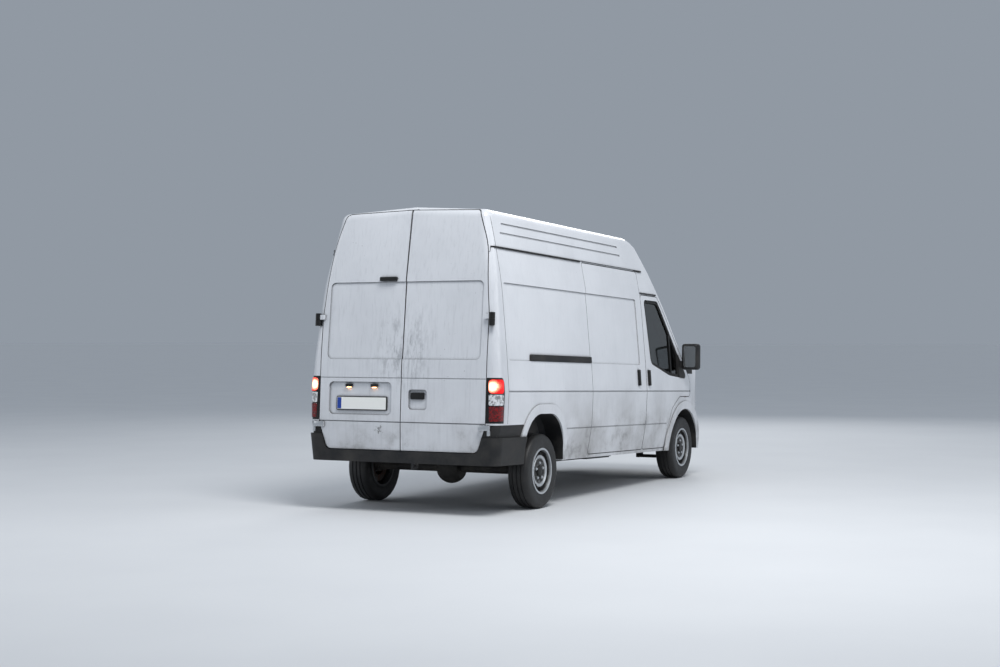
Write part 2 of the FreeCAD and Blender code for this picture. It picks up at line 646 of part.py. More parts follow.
for end, outline, inner in ARCHES:
    for side, sign in SIDES:
        arch = across(f"{end}_arch_{side}", outline, sign, inner)
        arch_form[end, side] = arch
        band = offset(f"{end}_flare_out_{side}", arch, "flare_width", *OUTBOARD, sign)
        layer = skin(f"{end}_flare_skin_{side}", "-flare_out", "flare_out")
        above = box(f"{end}_flare_room_{side}", ("-50", "length"), OUTBOARD, ("sill_z", "1200"), sign)
        flare[end, side] = cut(f"{end}_flare_{side}", common(f"{end}_flare_band_{side}", band, layer, above),
                               arch)

# Zones of the shell, each a real panel
ROOF_ZONE = [(BEHIND, "drip_z", 0), (behind("drip_z", "95"), "drip_z", 0),
             (behind("screen_top_z", "95"), "screen_top_z", 0), ("length", "screen_top_z", 0),
             ("length", "roof_z + 100", 0), (BEHIND, "roof_z + 100", 0)]
COWL = ("bonnet_start_x - 410", "bonnet_start_x - gap")
WING_ZONE = [(f"{FRONT_X} - 545", "sill_z - 200", 0), ("length + 100", "sill_z - 200", 0),
             ("length + 100", "1600", 0), (COWL[1], "1600", 0), (COWL[1], "cowl_low_z", 0),
             (f"{FRONT_X} - 545", "cowl_low_z", 0)]
roof_zone = prism("roof_zone", "side", ROOF_ZONE, *ACROSS)
below_roof = box("below_roof", REAR_END, ACROSS, ("0", "drip_z"))
wing_zone = prism("wing_zone", "side", WING_ZONE, *ACROSS)
cowl_zone = box("cowl_zone", COWL, ACROSS, ("cowl_low_z", "cowl_high_z"))
screen_form = prism("screen_form", "end", [
    ("-(screen_low_half)", "bonnet_rear_z + 5", 60), ("-(screen_top_half)", "screen_top_z", 70),
    ("screen_top_half", "screen_top_z", 70), ("screen_low_half", "bonnet_rear_z + 5", 60)], "3600", "length")
screen_opening = common("screen_opening", screen_form, cut("screen_band", screen("screen_ahead", "-60"),
                                                           screen("screen_behind", "wall + 40")))
bonnet_form = prism("bonnet_form", "plan", [
    ("bonnet_start_x", "bonnet_half", 30), ("bonnet_end_x", "bonnet_half - 60", 90),
    ("bonnet_end_x", "-(bonnet_half - 60)", 90), ("bonnet_start_x", "-bonnet_half", 30)],
    "nose_z - 100", OVER_NOSE)
bonnet_opening = offset("bonnet_opening", bonnet_form, "gap", "nose_z - 120", OVER_NOSE)
bumper_zone = box("bumper_zone", (f"{FRONT_X} + arch_front_radius - 40", AHEAD), ACROSS,
                  ("sill_z - 100", "bumper_top_z"))
hinge_pad, hinge_slot = {}, {}
for side, sign in SIDES:
    hinge_pad[side] = box(f"hinge_pad_{side}", ("wall - 32", "wall"),
                          ("rear_door_half + gap", "rear_hinge_y + 50"),
                          ("rear_hinge_low_z - 10", "rear_fold_z - 8"), sign)
    hinge_slot[side] = box(f"hinge_slot_{side}", (BEHIND, "wall"), ("rear_hinge_y - 10", "rear_hinge_y + 10"),
                           ("rear_hinge_low_z - 4", "rear_hinge_low_z + rear_hinge_long / 2 + 4"), sign)
rear_bumper_zone = box("rear_bumper_block", (BEHIND, f"{REAR_X} - 200"), ACROSS,
                       ("sill_z - 100", "rear_fold_z - 8"))
LAMP = [("600", "850", 40), ("640", "1010", 60), ("900", "1060", 80), ("1200", "1020", 20),
        ("1200", "830", 20)]
TAIL_LAMP = [("rear_door_half + gap", "rear_fold_z + 8", 0),
             ("rear_door_half + gap", "rear_fold_z + tail_lamp_tall", 0),
             ("1200", "rear_fold_z + tail_lamp_tall", 0), ("1200", "rear_fold_z + 8", 0)]
TAIL_LAMP_SIDE = [(BEHIND, "rear_fold_z", 0), (BEHIND, "rear_fold_z + 420", 0),
                  ("118", "rear_fold_z + 420", 70), ("118", "rear_fold_z", 0)]
lamp_zone, tail_zone = {}, {}
for side, sign in SIDES:
    mirrored = [(f"{sign} * ({y})", z, rounding) for y, z, rounding in LAMP]
    lamp_zone[side] = prism(f"lamp_zone_{side}", "end", mirrored, "front_corner_x + 130", AHEAD)
    mirrored = [(f"{sign} * ({y})", z, rounding) for y, z, rounding in TAIL_LAMP]
    tail_zone[side] = common(f"tail_zone_{side}",
                             prism(f"tail_rear_form_{side}", "end", mirrored, BEHIND, "200"),
                             across(f"tail_side_form_{side}", TAIL_LAMP_SIDE, sign))
grille_zone = box("grille_zone", ("front_corner_x", AHEAD), ("-600", "600"), ("bumper_top_z", OVER_NOSE))

# Pressed lines along the sides: name, from, to, bottom, top, depth
PRESSED = (
    ("shoulder", "200", "door_front_x", "shoulder_z", "shoulder_z + shoulder_line", "groove_depth"),
    ("lower_line", f"{REAR_X} + arch_rear_half + 60", f"{FRONT_X} - 560", "low_z - 20", "low_z - 8",
     "groove_depth"),
    ("cap_line_low", "330", "door_rear_x - 400", "drip_z + 128", "drip_z + 146", "groove_depth"),
    ("cap_line_high", "380", "door_rear_x - 440", "drip_z + 216", "drip_z + 234", "groove_depth"),
    ("corner_seam", "196", "203", "rear_fold_z + 2", "cap_z - 60", "groove_depth"),
)


def pressing(name, points, depth, sign):
    """A tool that presses an outline into the side to a depth."""
    return cut(name, across(name + "_form", points, sign), section(name + "_floor", depth))


pressed = {"left": [], "right": []}
# Pressed panel: name, rear edge, front edge
RECESSES = (("panel", "240", "slide_front_x - 150"),)
for side, sign in SIDES:
    for name, start, end, low, high, depth in PRESSED:
        points = [(start, low, 0), (start, high, 0), (end, high, 0), (end, low, 0)]
        pressed[side].append(pressing(f"{name}_{side}", points, depth, sign))
    for name, start, end in RECESSES:
        points = [(start, "rear_mid_z", 20), (start, "upper_z", 20), (end, "upper_z", 20),
                  (end, "rear_mid_z", 20)]
        pressed[side].append(pressing(f"{name}_{side}", points, "press_depth", sign))
sides_pressed = {side: fuse(f"pressings_{side}", *pressed[side]) for side, sign in SIDES}

# The hinges of the rear doors
# Row, its foot above the lower hinge, and how far its leaf reaches on to the door
HINGE_ROWS = (("low", "0", "96"), ("high", "rear_hinge_high_z - rear_hinge_low_z", "66"))


def rear_hinge(side, sign, part):
    """The door's or the body's half of both hinges, built upright on the hinge line and then leaned."""
    pieces = []
    for row, foot, reach in HINGE_ROWS:
        middle = f"{foot} + rear_hinge_long / 2"
        low, high = (foot, f"{middle} - seat_gap / 2") if part == "body" else (f"{middle} + seat_gap / 2",
                                                                               f"{foot} + rear_hinge_long")
        name = f"hinge_{part}_{row}_{side}"
        pieces.append(rod(name + "_barrel", "rear_hinge_radius", low, high, ("0", "0"), "z"))
        if part == "body":
            pieces.append(box(name + "_leaf", ("0", "rear_hinge_radius + 42"), ("-5", "5"), (low, high),
                              sign))
        else:
            pieces.append(box(name + "_leaf", ("-rear_hinge_radius", "-rear_hinge_radius + 8"),
                              (f"-{reach}", "0"), (low, high), sign))
            pieces.append(box(name + "_foot", ("-rear_hinge_radius", "40"), (f"-{reach}", f"-{reach} + 16"),
                              (low, high), sign))
    whole = fuse(f"hinges_{part}_{side}", *pieces)
    whole.Placement = Placement(Vector(), Rotation(Vector(0, 1, 0), 1))
    bind(whole, Placement__Rotation__Angle="rear_hinge_lean", Placement__Base__x="rear_hinge_x",
         Placement__Base__y=f"{sign} * rear_hinge_y", Placement__Base__z="rear_hinge_low_z")
    return whole


# Side walls, roof, wings and nose
half_space = {side: box(f"half_{side}", ("-300", "length + 300"), ("0", f"{FAR}"), ("0", ABOVE), sign)
              for side, sign in SIDES}
wing_half = {side: box(f"wing_half_{side}", ("front_corner_x - 1000", "length + 300"), ("600", f"{FAR}"),
                       ("0", ABOVE), sign) for side, sign in SIDES}
wing_top = {side: box(f"wing_top_{side}", (COWL[1], "length + 300"), ("0", "600"), ("bumper_top_z", ABOVE),
                      sign)
            for side, sign in SIDES}
door_frames = []
door_hole = {side: offset(f"front_door_hole_{side}", front_outline[side], "gap", *OUTBOARD, sign)
             for side, sign in SIDES}
for side, sign in SIDES:
    holes = [door_hole[side]]
    rings = [door_frame(f"front_frame_{side}", front_outline[side], sign)]
    if side == "right":
        holes.append(offset("sliding_door_hole", slide_outline, "gap", *OUTBOARD, sign))
        rings.append(door_frame("sliding_frame", slide_outline, sign))
    rings = fuse(f"rings_{side}", *rings) if len(rings) > 1 else rings[0]
    door_frames.append(common(f"door_frames_{side}", rings, frame_skin))
    wall = common(f"wall_{side}", cut(f"wall_shell_{side}", shell, roof_zone, wing_zone, cowl_zone),
                  half_space[side])
    wall = cut(f"wall_open_{side}", wall, rear_opening, arch_form["rear", side], rear_bumper_zone,
               tail_zone[side],
               sides_pressed[side], screen_opening, *holes)
    pad = common(f"hinge_pad_shell_{side}", shell, hinge_pad[side])
    flange = common(f"rear_flange_{side}", rear_flange, half_space[side], below_roof)
    sprung(f"body_side_{side}", fuse(f"wall_whole_{side}", wall, door_frames[-1], flare["rear", side], pad,
                                     flange,
                                     rear_hinge(side, sign, "body")))
    wing = common(f"wing_shell_{side}", shell, wing_zone)
    keep = fuse(f"wing_keep_{side}", wing_half[side], wing_top[side])
    wing = cut(f"wing_open_{side}", common(f"wing_form_{side}", wing, keep), bonnet_opening, grille_zone,
               bumper_zone,
               lamp_zone[side], arch_form["front", side], door_hole[side], sides_pressed[side])
    lip = cut(f"front_flare_clear_{side}", flare["front", side], door_hole[side])
    sprung(f"front_wing_{side}", fuse(f"wing_whole_{side}", wing, lip))

roof = cut("roof_panel", common("roof_shell", shell, roof_zone), rear_opening, screen_opening,
           *sides_pressed.values(), *door_hole.values())
sprung("roof", fuse("roof_whole", roof, common("roof_flange", rear_flange, roof_zone)))

# Front panels
cowl = cut("cowl_panel", common("cowl_shell", shell, cowl_zone), screen_opening, bonnet_opening,
           *door_hole.values())
sprung("cowl", cowl)
pane = cut("screen_pane", screen("screen_face", "4"), screen("screen_back", "4 + screen_glass"))
sprung("windscreen", common("screen_glass", hull, pane, screen_form))
sprung("bonnet", common("bonnet_panel", shell, bonnet_form))
GRILLE_SLATS = 3
slots = [box(f"grille_slot_{row}", ("front_corner_x", AHEAD), ("-slot_half", "slot_half"),
             (f"bumper_top_z + slot_first + {row} * slot_pitch",
              f"bumper_top_z + slot_first + {row} * slot_pitch + slot_tall")) for row in range(GRILLE_SLATS)]
sprung("grille_panel", cut("grille_open", common("grille_shell", shell, grille_zone), bonnet_opening,
                           lamp_zone["left"], lamp_zone["right"], *slots))
intake = box("bumper_intake", ("length - 200", AHEAD), ("-intake_half", "intake_half"),
             ("sill_z + intake_low", "bumper_top_z - intake_high"))
sprung("front_bumper", cut("bumper_open", common("bumper_shell", shell, bumper_zone),
                           arch_form["front", "left"],
                           arch_form["front", "right"], flare["front", "left"], flare["front", "right"],
                           intake))
sprung("headlamps", group("headlamp_pair", *[
    cut(f"headlamp_clear_{side}", common(f"headlamp_{side}", shell, lamp_zone[side]), bonnet_opening)
    for side, sign in SIDES]))

# Rear panels and doors
sprung("tail_lamps", group("tail_lamp_pair", *[common(f"tail_lamp_{side}", shell, tail_zone[side]) for side,
                                               sign in SIDES]))
bumper_hull = rounded("bumper_hull", common("bumper_hull_square", section("bumper_section", "-bumper_out"),
                                            prism(
    "bumper_side", "side", [("rear_low_x - bumper_out", "sill_z", 0),
                            ("rear_fold_x - bumper_out", "rear_fold_z", 0),
                            ("1200", "rear_fold_z", 0), ("1200", "sill_z", 0)], *ACROSS)),
    "rear_corner + bumper_out", ("-60", "500", "sill_z - 5"), ("260", FAR, "rear_fold_z + 20"))
bumper_step_zone = box("bumper_step_zone", (BEHIND, f"{REAR_X} - 200"), ACROSS,
                       ("sill_z - 100", "rear_hinge_low_z - 20"))
bumper_form = fuse("rear_bumper_form", common("bumper_upper", hull, rear_bumper_zone),
                   common("bumper_step", bumper_hull, bumper_step_zone))
rear_bumper = cut("rear_bumper_shell", bumper_form, room, *hinge_pad.values(),
                  *hinge_slot.values(), rear_opening, *[form for (end, side),
                                                        form in arch_form.items() if end == "rear"],
                  *[lip for (end, side), lip in flare.items() if end == "rear"])
sprung("rear_bumper", rear_bumper)
# Pressed forms of a rear door: name, doors, inner edge, outer edge, bottom, top, roundings inside and
# outside, depth
WINDOW_EDGE, FAR_EDGE = "rear_door_half - 62", "rear_door_half + 100"
REAR_PANELS = (
    ("window", ("left", "right"), "-50", WINDOW_EDGE, "rear_mid_z", "upper_z + 10", 0, 50, "press_depth"),
    ("waist", ("left", "right"), "-50", FAR_EDGE, "rear_mid_z - 174", "rear_mid_z - 166", 0, 0,
     "groove_depth / 2"),
    ("fold", ("left", "right"), "-50", FAR_EDGE, "rear_fold_z - 5", "rear_fold_z + 5", 0, 0, "groove_depth"),
    ("plate", ("left",), "100", "rear_door_half - 92", "rear_fold_z + 60", "rear_fold_z + 362", 45, 45,
     "plate_depth"),
    ("handle", ("right",), "75", "268", "rear_fold_z + 115", "rear_fold_z + 298", 30, 30, "plate_depth"),
)
INNER_PANELS = (("upper", "110", "rear_door_half - 130", "rear_mid_z + 60", "upper_z - 60"),
                ("lower", "110", "rear_door_half - 130", "rear_fold_z + 30", "rear_mid_z - 60"))


for side, sign in SIDES:
    form = prism(f"rear_door_form_{side}", "end", rear_outline(sign, "0"), *REAR_END)
    bevel = [(BEHIND, "-wall", 0), (BEHIND, "gap / 2", 0), ("-20", "gap / 2", 0), ("260", "gap / 2 + 8", 0),
             ("260", "-wall", 0)]
    if sign < 0:
        bevel = [(x, f"-({y})", rounding) for x, y, rounding in bevel]
    leaf = common(f"rear_leaf_{side}", hull, form, door_strip)
    presses = []
    for name, doors, start, end, low, high, inside, outside, depth in REAR_PANELS:
        if side in doors:
            outline = [(f"{sign} * ({start})", low, inside), (f"{sign} * ({end})", low, outside),
                       (f"{sign} * ({end})", high, outside), (f"{sign} * ({start})", high, inside)]
            presses.append(common(f"rear_{name}_{side}",
                                  prism(f"rear_{name}_form_{side}", "end", outline, *REAR_END),
                                  rear_strip(f"rear_{name}_strip_{side}", depth)))
    for name, start, end, low, high in INNER_PANELS:
        outline = [(f"{sign} * ({y})", z, 40) for y,
                   z in ((start, low), (end, low), (end, high), (start, high))]
        presses.append(common(f"inner_{name}_{side}",
                              prism(f"inner_{name}_form_{side}", "end", outline, *REAR_END),
                              rear_strip(f"inner_{name}_strip_{side}", "wall + 20", "wall - inner_depth")))
    leaf = cut(f"rear_leaf_open_{side}", leaf, prism(f"rear_bevel_{side}", "plan", bevel, "300", "2900"),
               *presses)
    sprung(f"rear_door_{side}", fuse(f"rear_door_whole_{side}", leaf, rear_hinge(side, sign, "door")))

# Side doors, their glass, handles and mirrors
HANDLE = (("-handle_half", "handle_low"), ("handle_half", "handle_low"), ("handle_half", "handle_high"),
          ("-handle_half", "handle_high"))


def handle(name, x, sign):
    """An upright pull handle that stands off the skin."""
    points = [(f"{x} + {dx}", f"shoulder_z + {dz}", 12) for dx, dz in HANDLE]
    return common(name, across(name + "_form", points, sign), skin("handle_skin", "-handle_out", "2"))


for side, sign in SIDES:
    door = cut(f"front_door_open_{side}", common(f"front_door_skin_{side}", doors_skin, front_outline[side]),
               window_outline[side], sides_pressed[side])
    sprung(f"front_door_{side}", fuse(f"front_door_whole_{side}", door,
                                      handle(f"front_handle_{side}", "door_rear_x + 60", sign)))
    sail_zone = box(f"sail_zone_{side}", ("sail_x", "length"), OUTBOARD, ("1000", "2000"), sign)
    glass_room = offset(f"glass_room_{side}", window_outline[side], "-seat_gap", *OUTBOARD, sign)
    pane = common(f"door_pane_{side}", skin("glass_skin", "glass_depth", "glass_depth + glass_thick"),
                  glass_room)
    sprung(f"door_glass_{side}", cut(f"door_pane_clear_{side}", pane, box(
        f"sail_clear_{side}", ("sail_x - seat_gap", "length"), OUTBOARD, ("1000", "2000"), sign)))
    sail = common(f"mirror_sail_{side}", skin("sail_skin", "-sail_out", "glass_depth + glass_thick"),
                  glass_room, sail_zone)
    head = box(f"mirror_head_{side}", ("door_front_x - mirror_front", "door_front_x - mirror_rear"),
               ("mirror_out - mirror_wide", "mirror_out"),
               ("screen_base_z - mirror_low", "screen_base_z + mirror_high"), sign)
    soft = doc.addObject("Part::Fillet", f"mirror_soft_{side}")
    soft.Base = head
    doc.recompute()
    soften = size("mirror_soft")
    soft.Edges = [(edge, soften, soften) for edge in range(1, len(head.Shape.Edges) + 1)]
    arm_block = box(f"mirror_arm_block_{side}",
                    ("door_front_x - mirror_front + 20", "door_front_x - mirror_rear - 20"),
                    ("arm_start_y", "mirror_out - 150"), ("screen_base_z - 95", "screen_base_z - 20"), sign)
    arm = cut(f"mirror_arm_{side}", arm_block, section("hull_clear_section", "-seat_gap"))
    sprung(f"mirror_{side}", fuse(f"mirror_whole_{side}", soft, arm, sail))
slider = cut("sliding_door_open", common("sliding_door_skin", doors_skin, slide_outline),
             sides_pressed["right"])
sprung("sliding_door", fuse("sliding_door_whole", slider,
                            handle("sliding_handle", "slide_front_x - 220", -1)))
RAIL = [("slide_rear_x - rail_cover_long", "rear_mid_z + rail_cover_low", 0),
        ("slide_rear_x - rail_cover_long", "rear_mid_z + rail_cover_high", 20),
        ("slide_rear_x - gap", "rear_mid_z + rail_cover_high", 0),
        ("slide_rear_x - gap", "rear_mid_z + rail_cover_low", 0)]
sprung("rail_cover", common("rail_strip", across("rail_form", RAIL, -1),
                            skin("rail_skin", "-rail_cover_out", "press_depth")))

# Floor, bulkhead and frame
wheel_boxes = []
for side, sign in SIDES:
    wheel_boxes.append(box(f"wheel_box_{side}",
                           (f"{REAR_X} - arch_rear_half - 45", f"{REAR_X} + arch_rear_half + 45"),
                           ("track_half - tyre_width / 2 - 65", f"{FAR}"),
                           ("floor_z - floor_thick", "arch_rear_top + 40"), sign))
    wheel_boxes.append(box(f"wheel_house_{side}",
                           (f"{FRONT_X} - arch_front_radius - 30", f"{FRONT_X} + arch_front_radius + 30"),
                           ("rail_y + rail_wide / 2 + 8", f"{FAR}"),
                           ("cab_floor_z - floor_thick", f"{FRONT_Z} + arch_front_radius + 32"), sign))
ribs = [box(f"floor_rib_{row}",
            (f"rib_first_x + {row} * rib_pitch", f"rib_first_x + {row} * rib_pitch + rib_wide"),
            ("-rib_half", "rib_half"), ("floor_z - 2 * floor_thick", "floor_z - floor_thick"))
        for row in (0, 1, 3, 4, 5)]
load_floor = box("load_floor", ("0", "bulkhead_x - seat_gap"), ACROSS, ("floor_z - floor_thick", "floor_z"))
corners = [box(f"floor_corner_{side}", ("-100", "wall + frame_depth"), ("rear_door_low_half", f"{FAR}"),
               ("floor_z - floor_thick - 1", "floor_z + 1"), sign) for side, sign in SIDES]
cab_floor = box("cab_floor", ("bulkhead_x - 80", "dash_x + 30"), ACROSS,
                ("cab_floor_z - floor_thick", "cab_floor_z"))
fire_wall = box("fire_wall", ("dash_x", "dash_x + 30"), ACROSS, ("cab_floor_z - floor_thick", "scuttle_z"))
scuttle = box("scuttle", ("dash_x", "bonnet_start_x - 15"), ACROSS, ("scuttle_z - 30", "scuttle_z"))
upstand = box("scuttle_upstand", ("bonnet_start_x - 45", "bonnet_start_x - 15"), ACROSS,
              ("scuttle_z - 30", OVER_NOSE))
inner_wing = [box(f"inner_wing_{side}", ("dash_x + 30", "front_corner_x + 250"),
                  ("rail_y + rail_wide / 2 + 8", "rail_y + rail_wide / 2 + 38"),
                  ("cab_floor_z - floor_thick", OVER_NOSE), sign)
              for side, sign in SIDES]
room_clear = envelope("room_clear", "wall + seat_gap", "sill_z - 200")
floor_block = fuse("floor_block", load_floor, cab_floor, fire_wall, scuttle, upstand, *wheel_boxes, *ribs,
                   *inner_wing)
sprung("floor_pan", cut("floor_cut", common("floor_room", floor_block, room_clear), *arch_form.values(),
                        *door_frames,
                        *corners))
bulkhead = box("bulkhead_plate", ("bulkhead_x", "bulkhead_x + bulkhead_thick"), ACROSS,
               ("cab_floor_z + seat_gap", ABOVE))
sprung("bulkhead", cut("bulkhead_cut", common("bulkhead_room", bulkhead, room), *door_frames))
RAIL_TOP = "cab_floor_z - floor_thick"
rails = [box(f"rail_{side}", ("frame_rear_x", "front_corner_x + 260"),
             ("rail_y - rail_wide / 2", "rail_y + rail_wide / 2"),
             (f"{RAIL_TOP} - rail_deep", RAIL_TOP), sign) for side, sign in SIDES]
# Where the cross-members and the outriggers start
CROSS = ("200", "1500", "2300", "3000", "4000", "front_corner_x + 180")
OUTRIGGERS = ("1660", CROSS[2], CROSS[3], "3900")
crossings = [box(f"cross_{row}", (x, f"{x} + cross_wide"), ("-rail_y", "rail_y"),
                 (f"{RAIL_TOP} - cross_deep - 10", f"{RAIL_TOP} - 10"))
             for row, x in enumerate(CROSS)]
outriggers = [box(f"outrigger_{row}_{side}", (x, f"{x} + outrigger_wide"), ("rail_y", "outrigger_y"),
                  (f"{RAIL_TOP} - outrigger_deep", RAIL_TOP), sign)
              for row, x in enumerate(OUTRIGGERS) for side, sign in SIDES]
eye_plate = box("towing_eye_plate", ("eye_x - 40", "eye_x + 60"), ("-60", "-40"),
                ("eye_z - 40", f"{RAIL_TOP} - 10"))
eye_bore = rod("towing_eye_bore", "eye_radius", "-100", "0", ("eye_x", "eye_z"))
sprung("chassis_frame", cut("chassis_open", fuse("chassis_whole", *rails, *crossings, *outriggers, eye_plate),
                            eye_bore))

# Front suspension and engine
member = box("front_member", (f"{FRONT_X} - 110", f"{FRONT_X} + 110"), ("-rail_y - 10", "rail_y + 10"),
             (f"{RAIL_TOP} - rail_deep - 60", f"{RAIL_TOP} - rail_deep"))
arms = [box(f"front_arm_{side}", (f"{FRONT_X} - 28", f"{FRONT_X} + 28"), ("rail_y", "kingpin_y + 20"),
            (f"{FRONT_Z} - 130", f"{FRONT_Z} - 95"), sign) for side, sign in SIDES]
arm_roots = [box(f"front_arm_root_{side}", (f"{FRONT_X} - 60", f"{FRONT_X} + 60"),
                 ("rail_y - 30", "rail_y + 10"),
                 (f"{FRONT_Z} - 130", f"{RAIL_TOP} - rail_deep"), sign) for side, sign in SIDES]
struts = [rod(f"strut_{side}", "strut_radius", f"{FRONT_Z} + 160", f"{FRONT_Z} + arch_front_radius - 0.8",
              (FRONT_X, f"{sign} * (kingpin_y - 25)"), "z") for side, sign in SIDES]
sprung("front_suspension", group("front_suspension_whole", fuse("front_subframe", member, *arms, *arm_roots),
                                 *struts))
engine = box("engine_block", ("dash_x + engine_back", "front_corner_x + 60"), ("-engine_half", "engine_half"),
             (f"{RAIL_TOP} - rail_deep", "engine_top_z"))
gearbox = box("gearbox", ("gearbox_x", "dash_x + engine_back"), ("-gearbox_half", "gearbox_half"),
              ("gearbox_low_z", f"{RAIL_TOP} - 20"))
sprung("engine", fuse("engine_whole", engine, gearbox))

# Live rear axle on leaf springs, tank and exhaust
axle_tube = rod("axle_tube", "axle_radius", "-(track_half + hub_reach)", "track_half + hub_reach",
                (REAR_X, REAR_Z))
casing = doc.addObject("Part::Sphere", "axle_casing")
bind(casing, Radius="casing_radius", Placement__Base__x=REAR_X, Placement__Base__y="0",
     Placement__Base__z=REAR_Z)
casing_room = box("axle_casing_room", (f"{REAR_X} - 200", f"{REAR_X} + 200"), ("-casing_half", "casing_half"),
                  (f"{REAR_Z} - 200", f"{REAR_Z} + casing_rise"))
HUB_ENDS = {"left": ("track_half + hub_reach - hub_long", "track_half + hub_reach"),
            "right": ("-(track_half + hub_reach)", "hub_long - (track_half + hub_reach)")}
hubs = [rod(f"rear_hub_{side}", "hub_radius", *HUB_ENDS[side], (REAR_X, REAR_Z)) for side, sign in SIDES]
shaft = rod("drive_shaft", "shaft_radius", f"{REAR_X} + 100", "gearbox_x - seat_gap", ("0", REAR_Z), "x")
sprung("rear_axle", fuse("rear_axle_whole", axle_tube, common("axle_bulge", casing, casing_room), shaft,
                         *hubs))
SPRING_ENDS = (f"{REAR_X} - spring_reach", f"{REAR_X} + spring_reach")
SPRING_EYE = (f"{REAR_Z} + spring_rise", f"{REAR_Z} + spring_rise + spring_thick")
SPRING = [(SPRING_ENDS[0], SPRING_EYE[0], 0), (f"{REAR_X}", f"{REAR_Z} + axle_radius + seat_gap", 2500),
          (SPRING_ENDS[1], SPRING_EYE[0], 0), (SPRING_ENDS[1], SPRING_EYE[1], 0),
          (f"{REAR_X}", f"{REAR_Z} + axle_radius + 45", 2400), (SPRING_ENDS[0], SPRING_EYE[1], 0)]
springs = []
for side, sign in SIDES:
    blade = prism(f"spring_blade_{side}", "side", SPRING, "spring_y - spring_half", "spring_y + spring_half",
                  sign)
    seat = box(f"spring_seat_{side}", (f"{REAR_X} - 45", f"{REAR_X} + 45"),
               ("spring_y - 40", "spring_y + 40"),
               (f"{REAR_Z} + axle_radius + seat_gap", f"{REAR_Z} + axle_radius + 75"), sign)
    ends = [box(f"spring_hanger_{row}_{side}", (x, f"{x} + 40"),
                ("rail_y + rail_wide / 2", "spring_y + spring_half"),
                (f"{REAR_Z} + 125", RAIL_TOP), sign)
            for row, x in enumerate((f"{SPRING_ENDS[0]} - 10", f"{SPRING_ENDS[1]} - 30"))]
    springs.append(fuse(f"spring_{side}", blade, seat, *ends))
sprung("leaf_springs", group("leaf_spring_pair", *springs))
tank = box("tank_block", ("tank_rear_x", "tank_front_x"), ("rail_y + rail_wide / 2", "tank_y"),
           ("tank_low_z", f"{RAIL_TOP} - 60"), -1)
sprung("fuel_tank", group("tank_whole", tank))
PIPE_LINE = ("-pipe_y", f"{RAIL_TOP} - pipe_drop")
pipe = rod("exhaust_pipe", "pipe_radius", "pipe_end_x", "dash_x + engine_back - seat_gap", PIPE_LINE, "x")
silencer = rod("exhaust_silencer", "silencer_radius", "silencer_rear_x", "silencer_front_x", PIPE_LINE, "x")
hangers = [box(f"exhaust_hanger_{row}", (f"{x} + 5", f"{x} + 55"), ("-pipe_y - 12", "-pipe_y + 12"),
               (PIPE_LINE[1], f"{RAIL_TOP} - 80"))
           for row, x in enumerate((CROSS[2], CROSS[4]))]
sprung("exhaust", fuse("exhaust_whole", pipe, silencer, *hangers))

# Cab: seats, dash and steering wheel
SEAT = [("bulkhead_x + 150", "cab_floor_z", 0), ("bulkhead_x + 150", "cab_floor_z + 250", 40),
        ("bulkhead_x + 60", "cab_floor_z + 940", 60),
        ("bulkhead_x + 180", "cab_floor_z + 960", 60), ("bulkhead_x + 260", "cab_floor_z + 330", 60),
        ("bulkhead_x + 640", "cab_floor_z + 360", 60), ("bulkhead_x + 620", "cab_floor_z + 230", 60),
        ("bulkhead_x + 560", "cab_floor_z", 0)]
sprung("seats", group("seat_pair", prism("driver_seat", "side", SEAT, "driver_seat_near", "driver_seat_far"),
                      prism("passenger_seat", "side", SEAT, "-bench_far", "bench_near")))
DASH = [("dash_x", "dash_low_z", 0), ("dash_x - dash_deep + 40", "dash_low_z + 70", 60),
        ("dash_x - dash_deep", "dash_top_z - 35", 80), ("dash_x - 80", "dash_top_z", 60),
        ("dash_x", "dash_top_z", 0)]
dash_block = prism("dash_block", "side", DASH, *ACROSS)


def on_column(feature):
    """Moves what is built upright about the origin onto the steering column, which runs forward and down."""
    feature.Placement = Placement(Vector(), Rotation(Vector(0, 1, 0), 1))
    bind(feature, Placement__Rotation__Angle="column_lean", Placement__Base__x="steer_x",
         Placement__Base__y="steer_y", Placement__Base__z="steer_z")
    return feature


column = on_column(group("column_placed", rod("steering_column", "column_radius", "steer_hub", "column_end",
                                              ("0", "0"), "z")))
dash_cut = cut("dash_cut", common("dash_room", dash_block, room_clear), *door_frames)
sprung("dashboard", fuse("dash_whole", dash_cut, column))
ring = doc.addObject("Part::Torus", "steer_ring_bar")
bind(ring, Radius1="steer_ring - steer_bar", Radius2="steer_bar")
boss = rod("steer_boss", "steer_boss_radius", "-10", "steer_hub - seat_gap", ("0", "0"), "z")
spokes = []
for row, turn in enumerate((0, 90, 180)):
    spoke = doc.addObject("Part::Box", f"steer_spoke_{row}")
    bind(spoke, Length="steer_ring - steer_bar", Width="spoke_wide", Height="spoke_thick")
    aim = Rotation(Vector(0, 0, 1), turn - 90)
    corner = Vector(0, -size("spoke_wide") / 2, -size("spoke_thick") / 2)
    spoke.Placement = Placement(aim.multVec(corner), aim)
    spokes.append(spoke)
sprung("steering_wheel", group("steering_wheel_placed", on_column(fuse("steer_whole", ring, boss, *spokes))))


# Wheels and front knuckles


def turned(name, points):
    """A part turned about the wheel axis from its half section, across the van by radius."""
    body = doc.addObject("PartDesign::Body", name)
    profile = body.newObject("Sketcher::SketchObject", name + "_profile")
    profile.AttachmentSupport = [(next(f for f in body.Origin.OriginFeatures if f.Role == "YZ_Plane"), "")]
    profile.MapMode = "FlatFace"
    draw(profile, points)
    turn = body.newObject("PartDesign::Revolution", name + "_turn")
    turn.Profile = profile
    turn.ReferenceAxis = (profile, ["H_Axis"])
    turn.Angle = 360
    return body


HAND_HOLES = 12


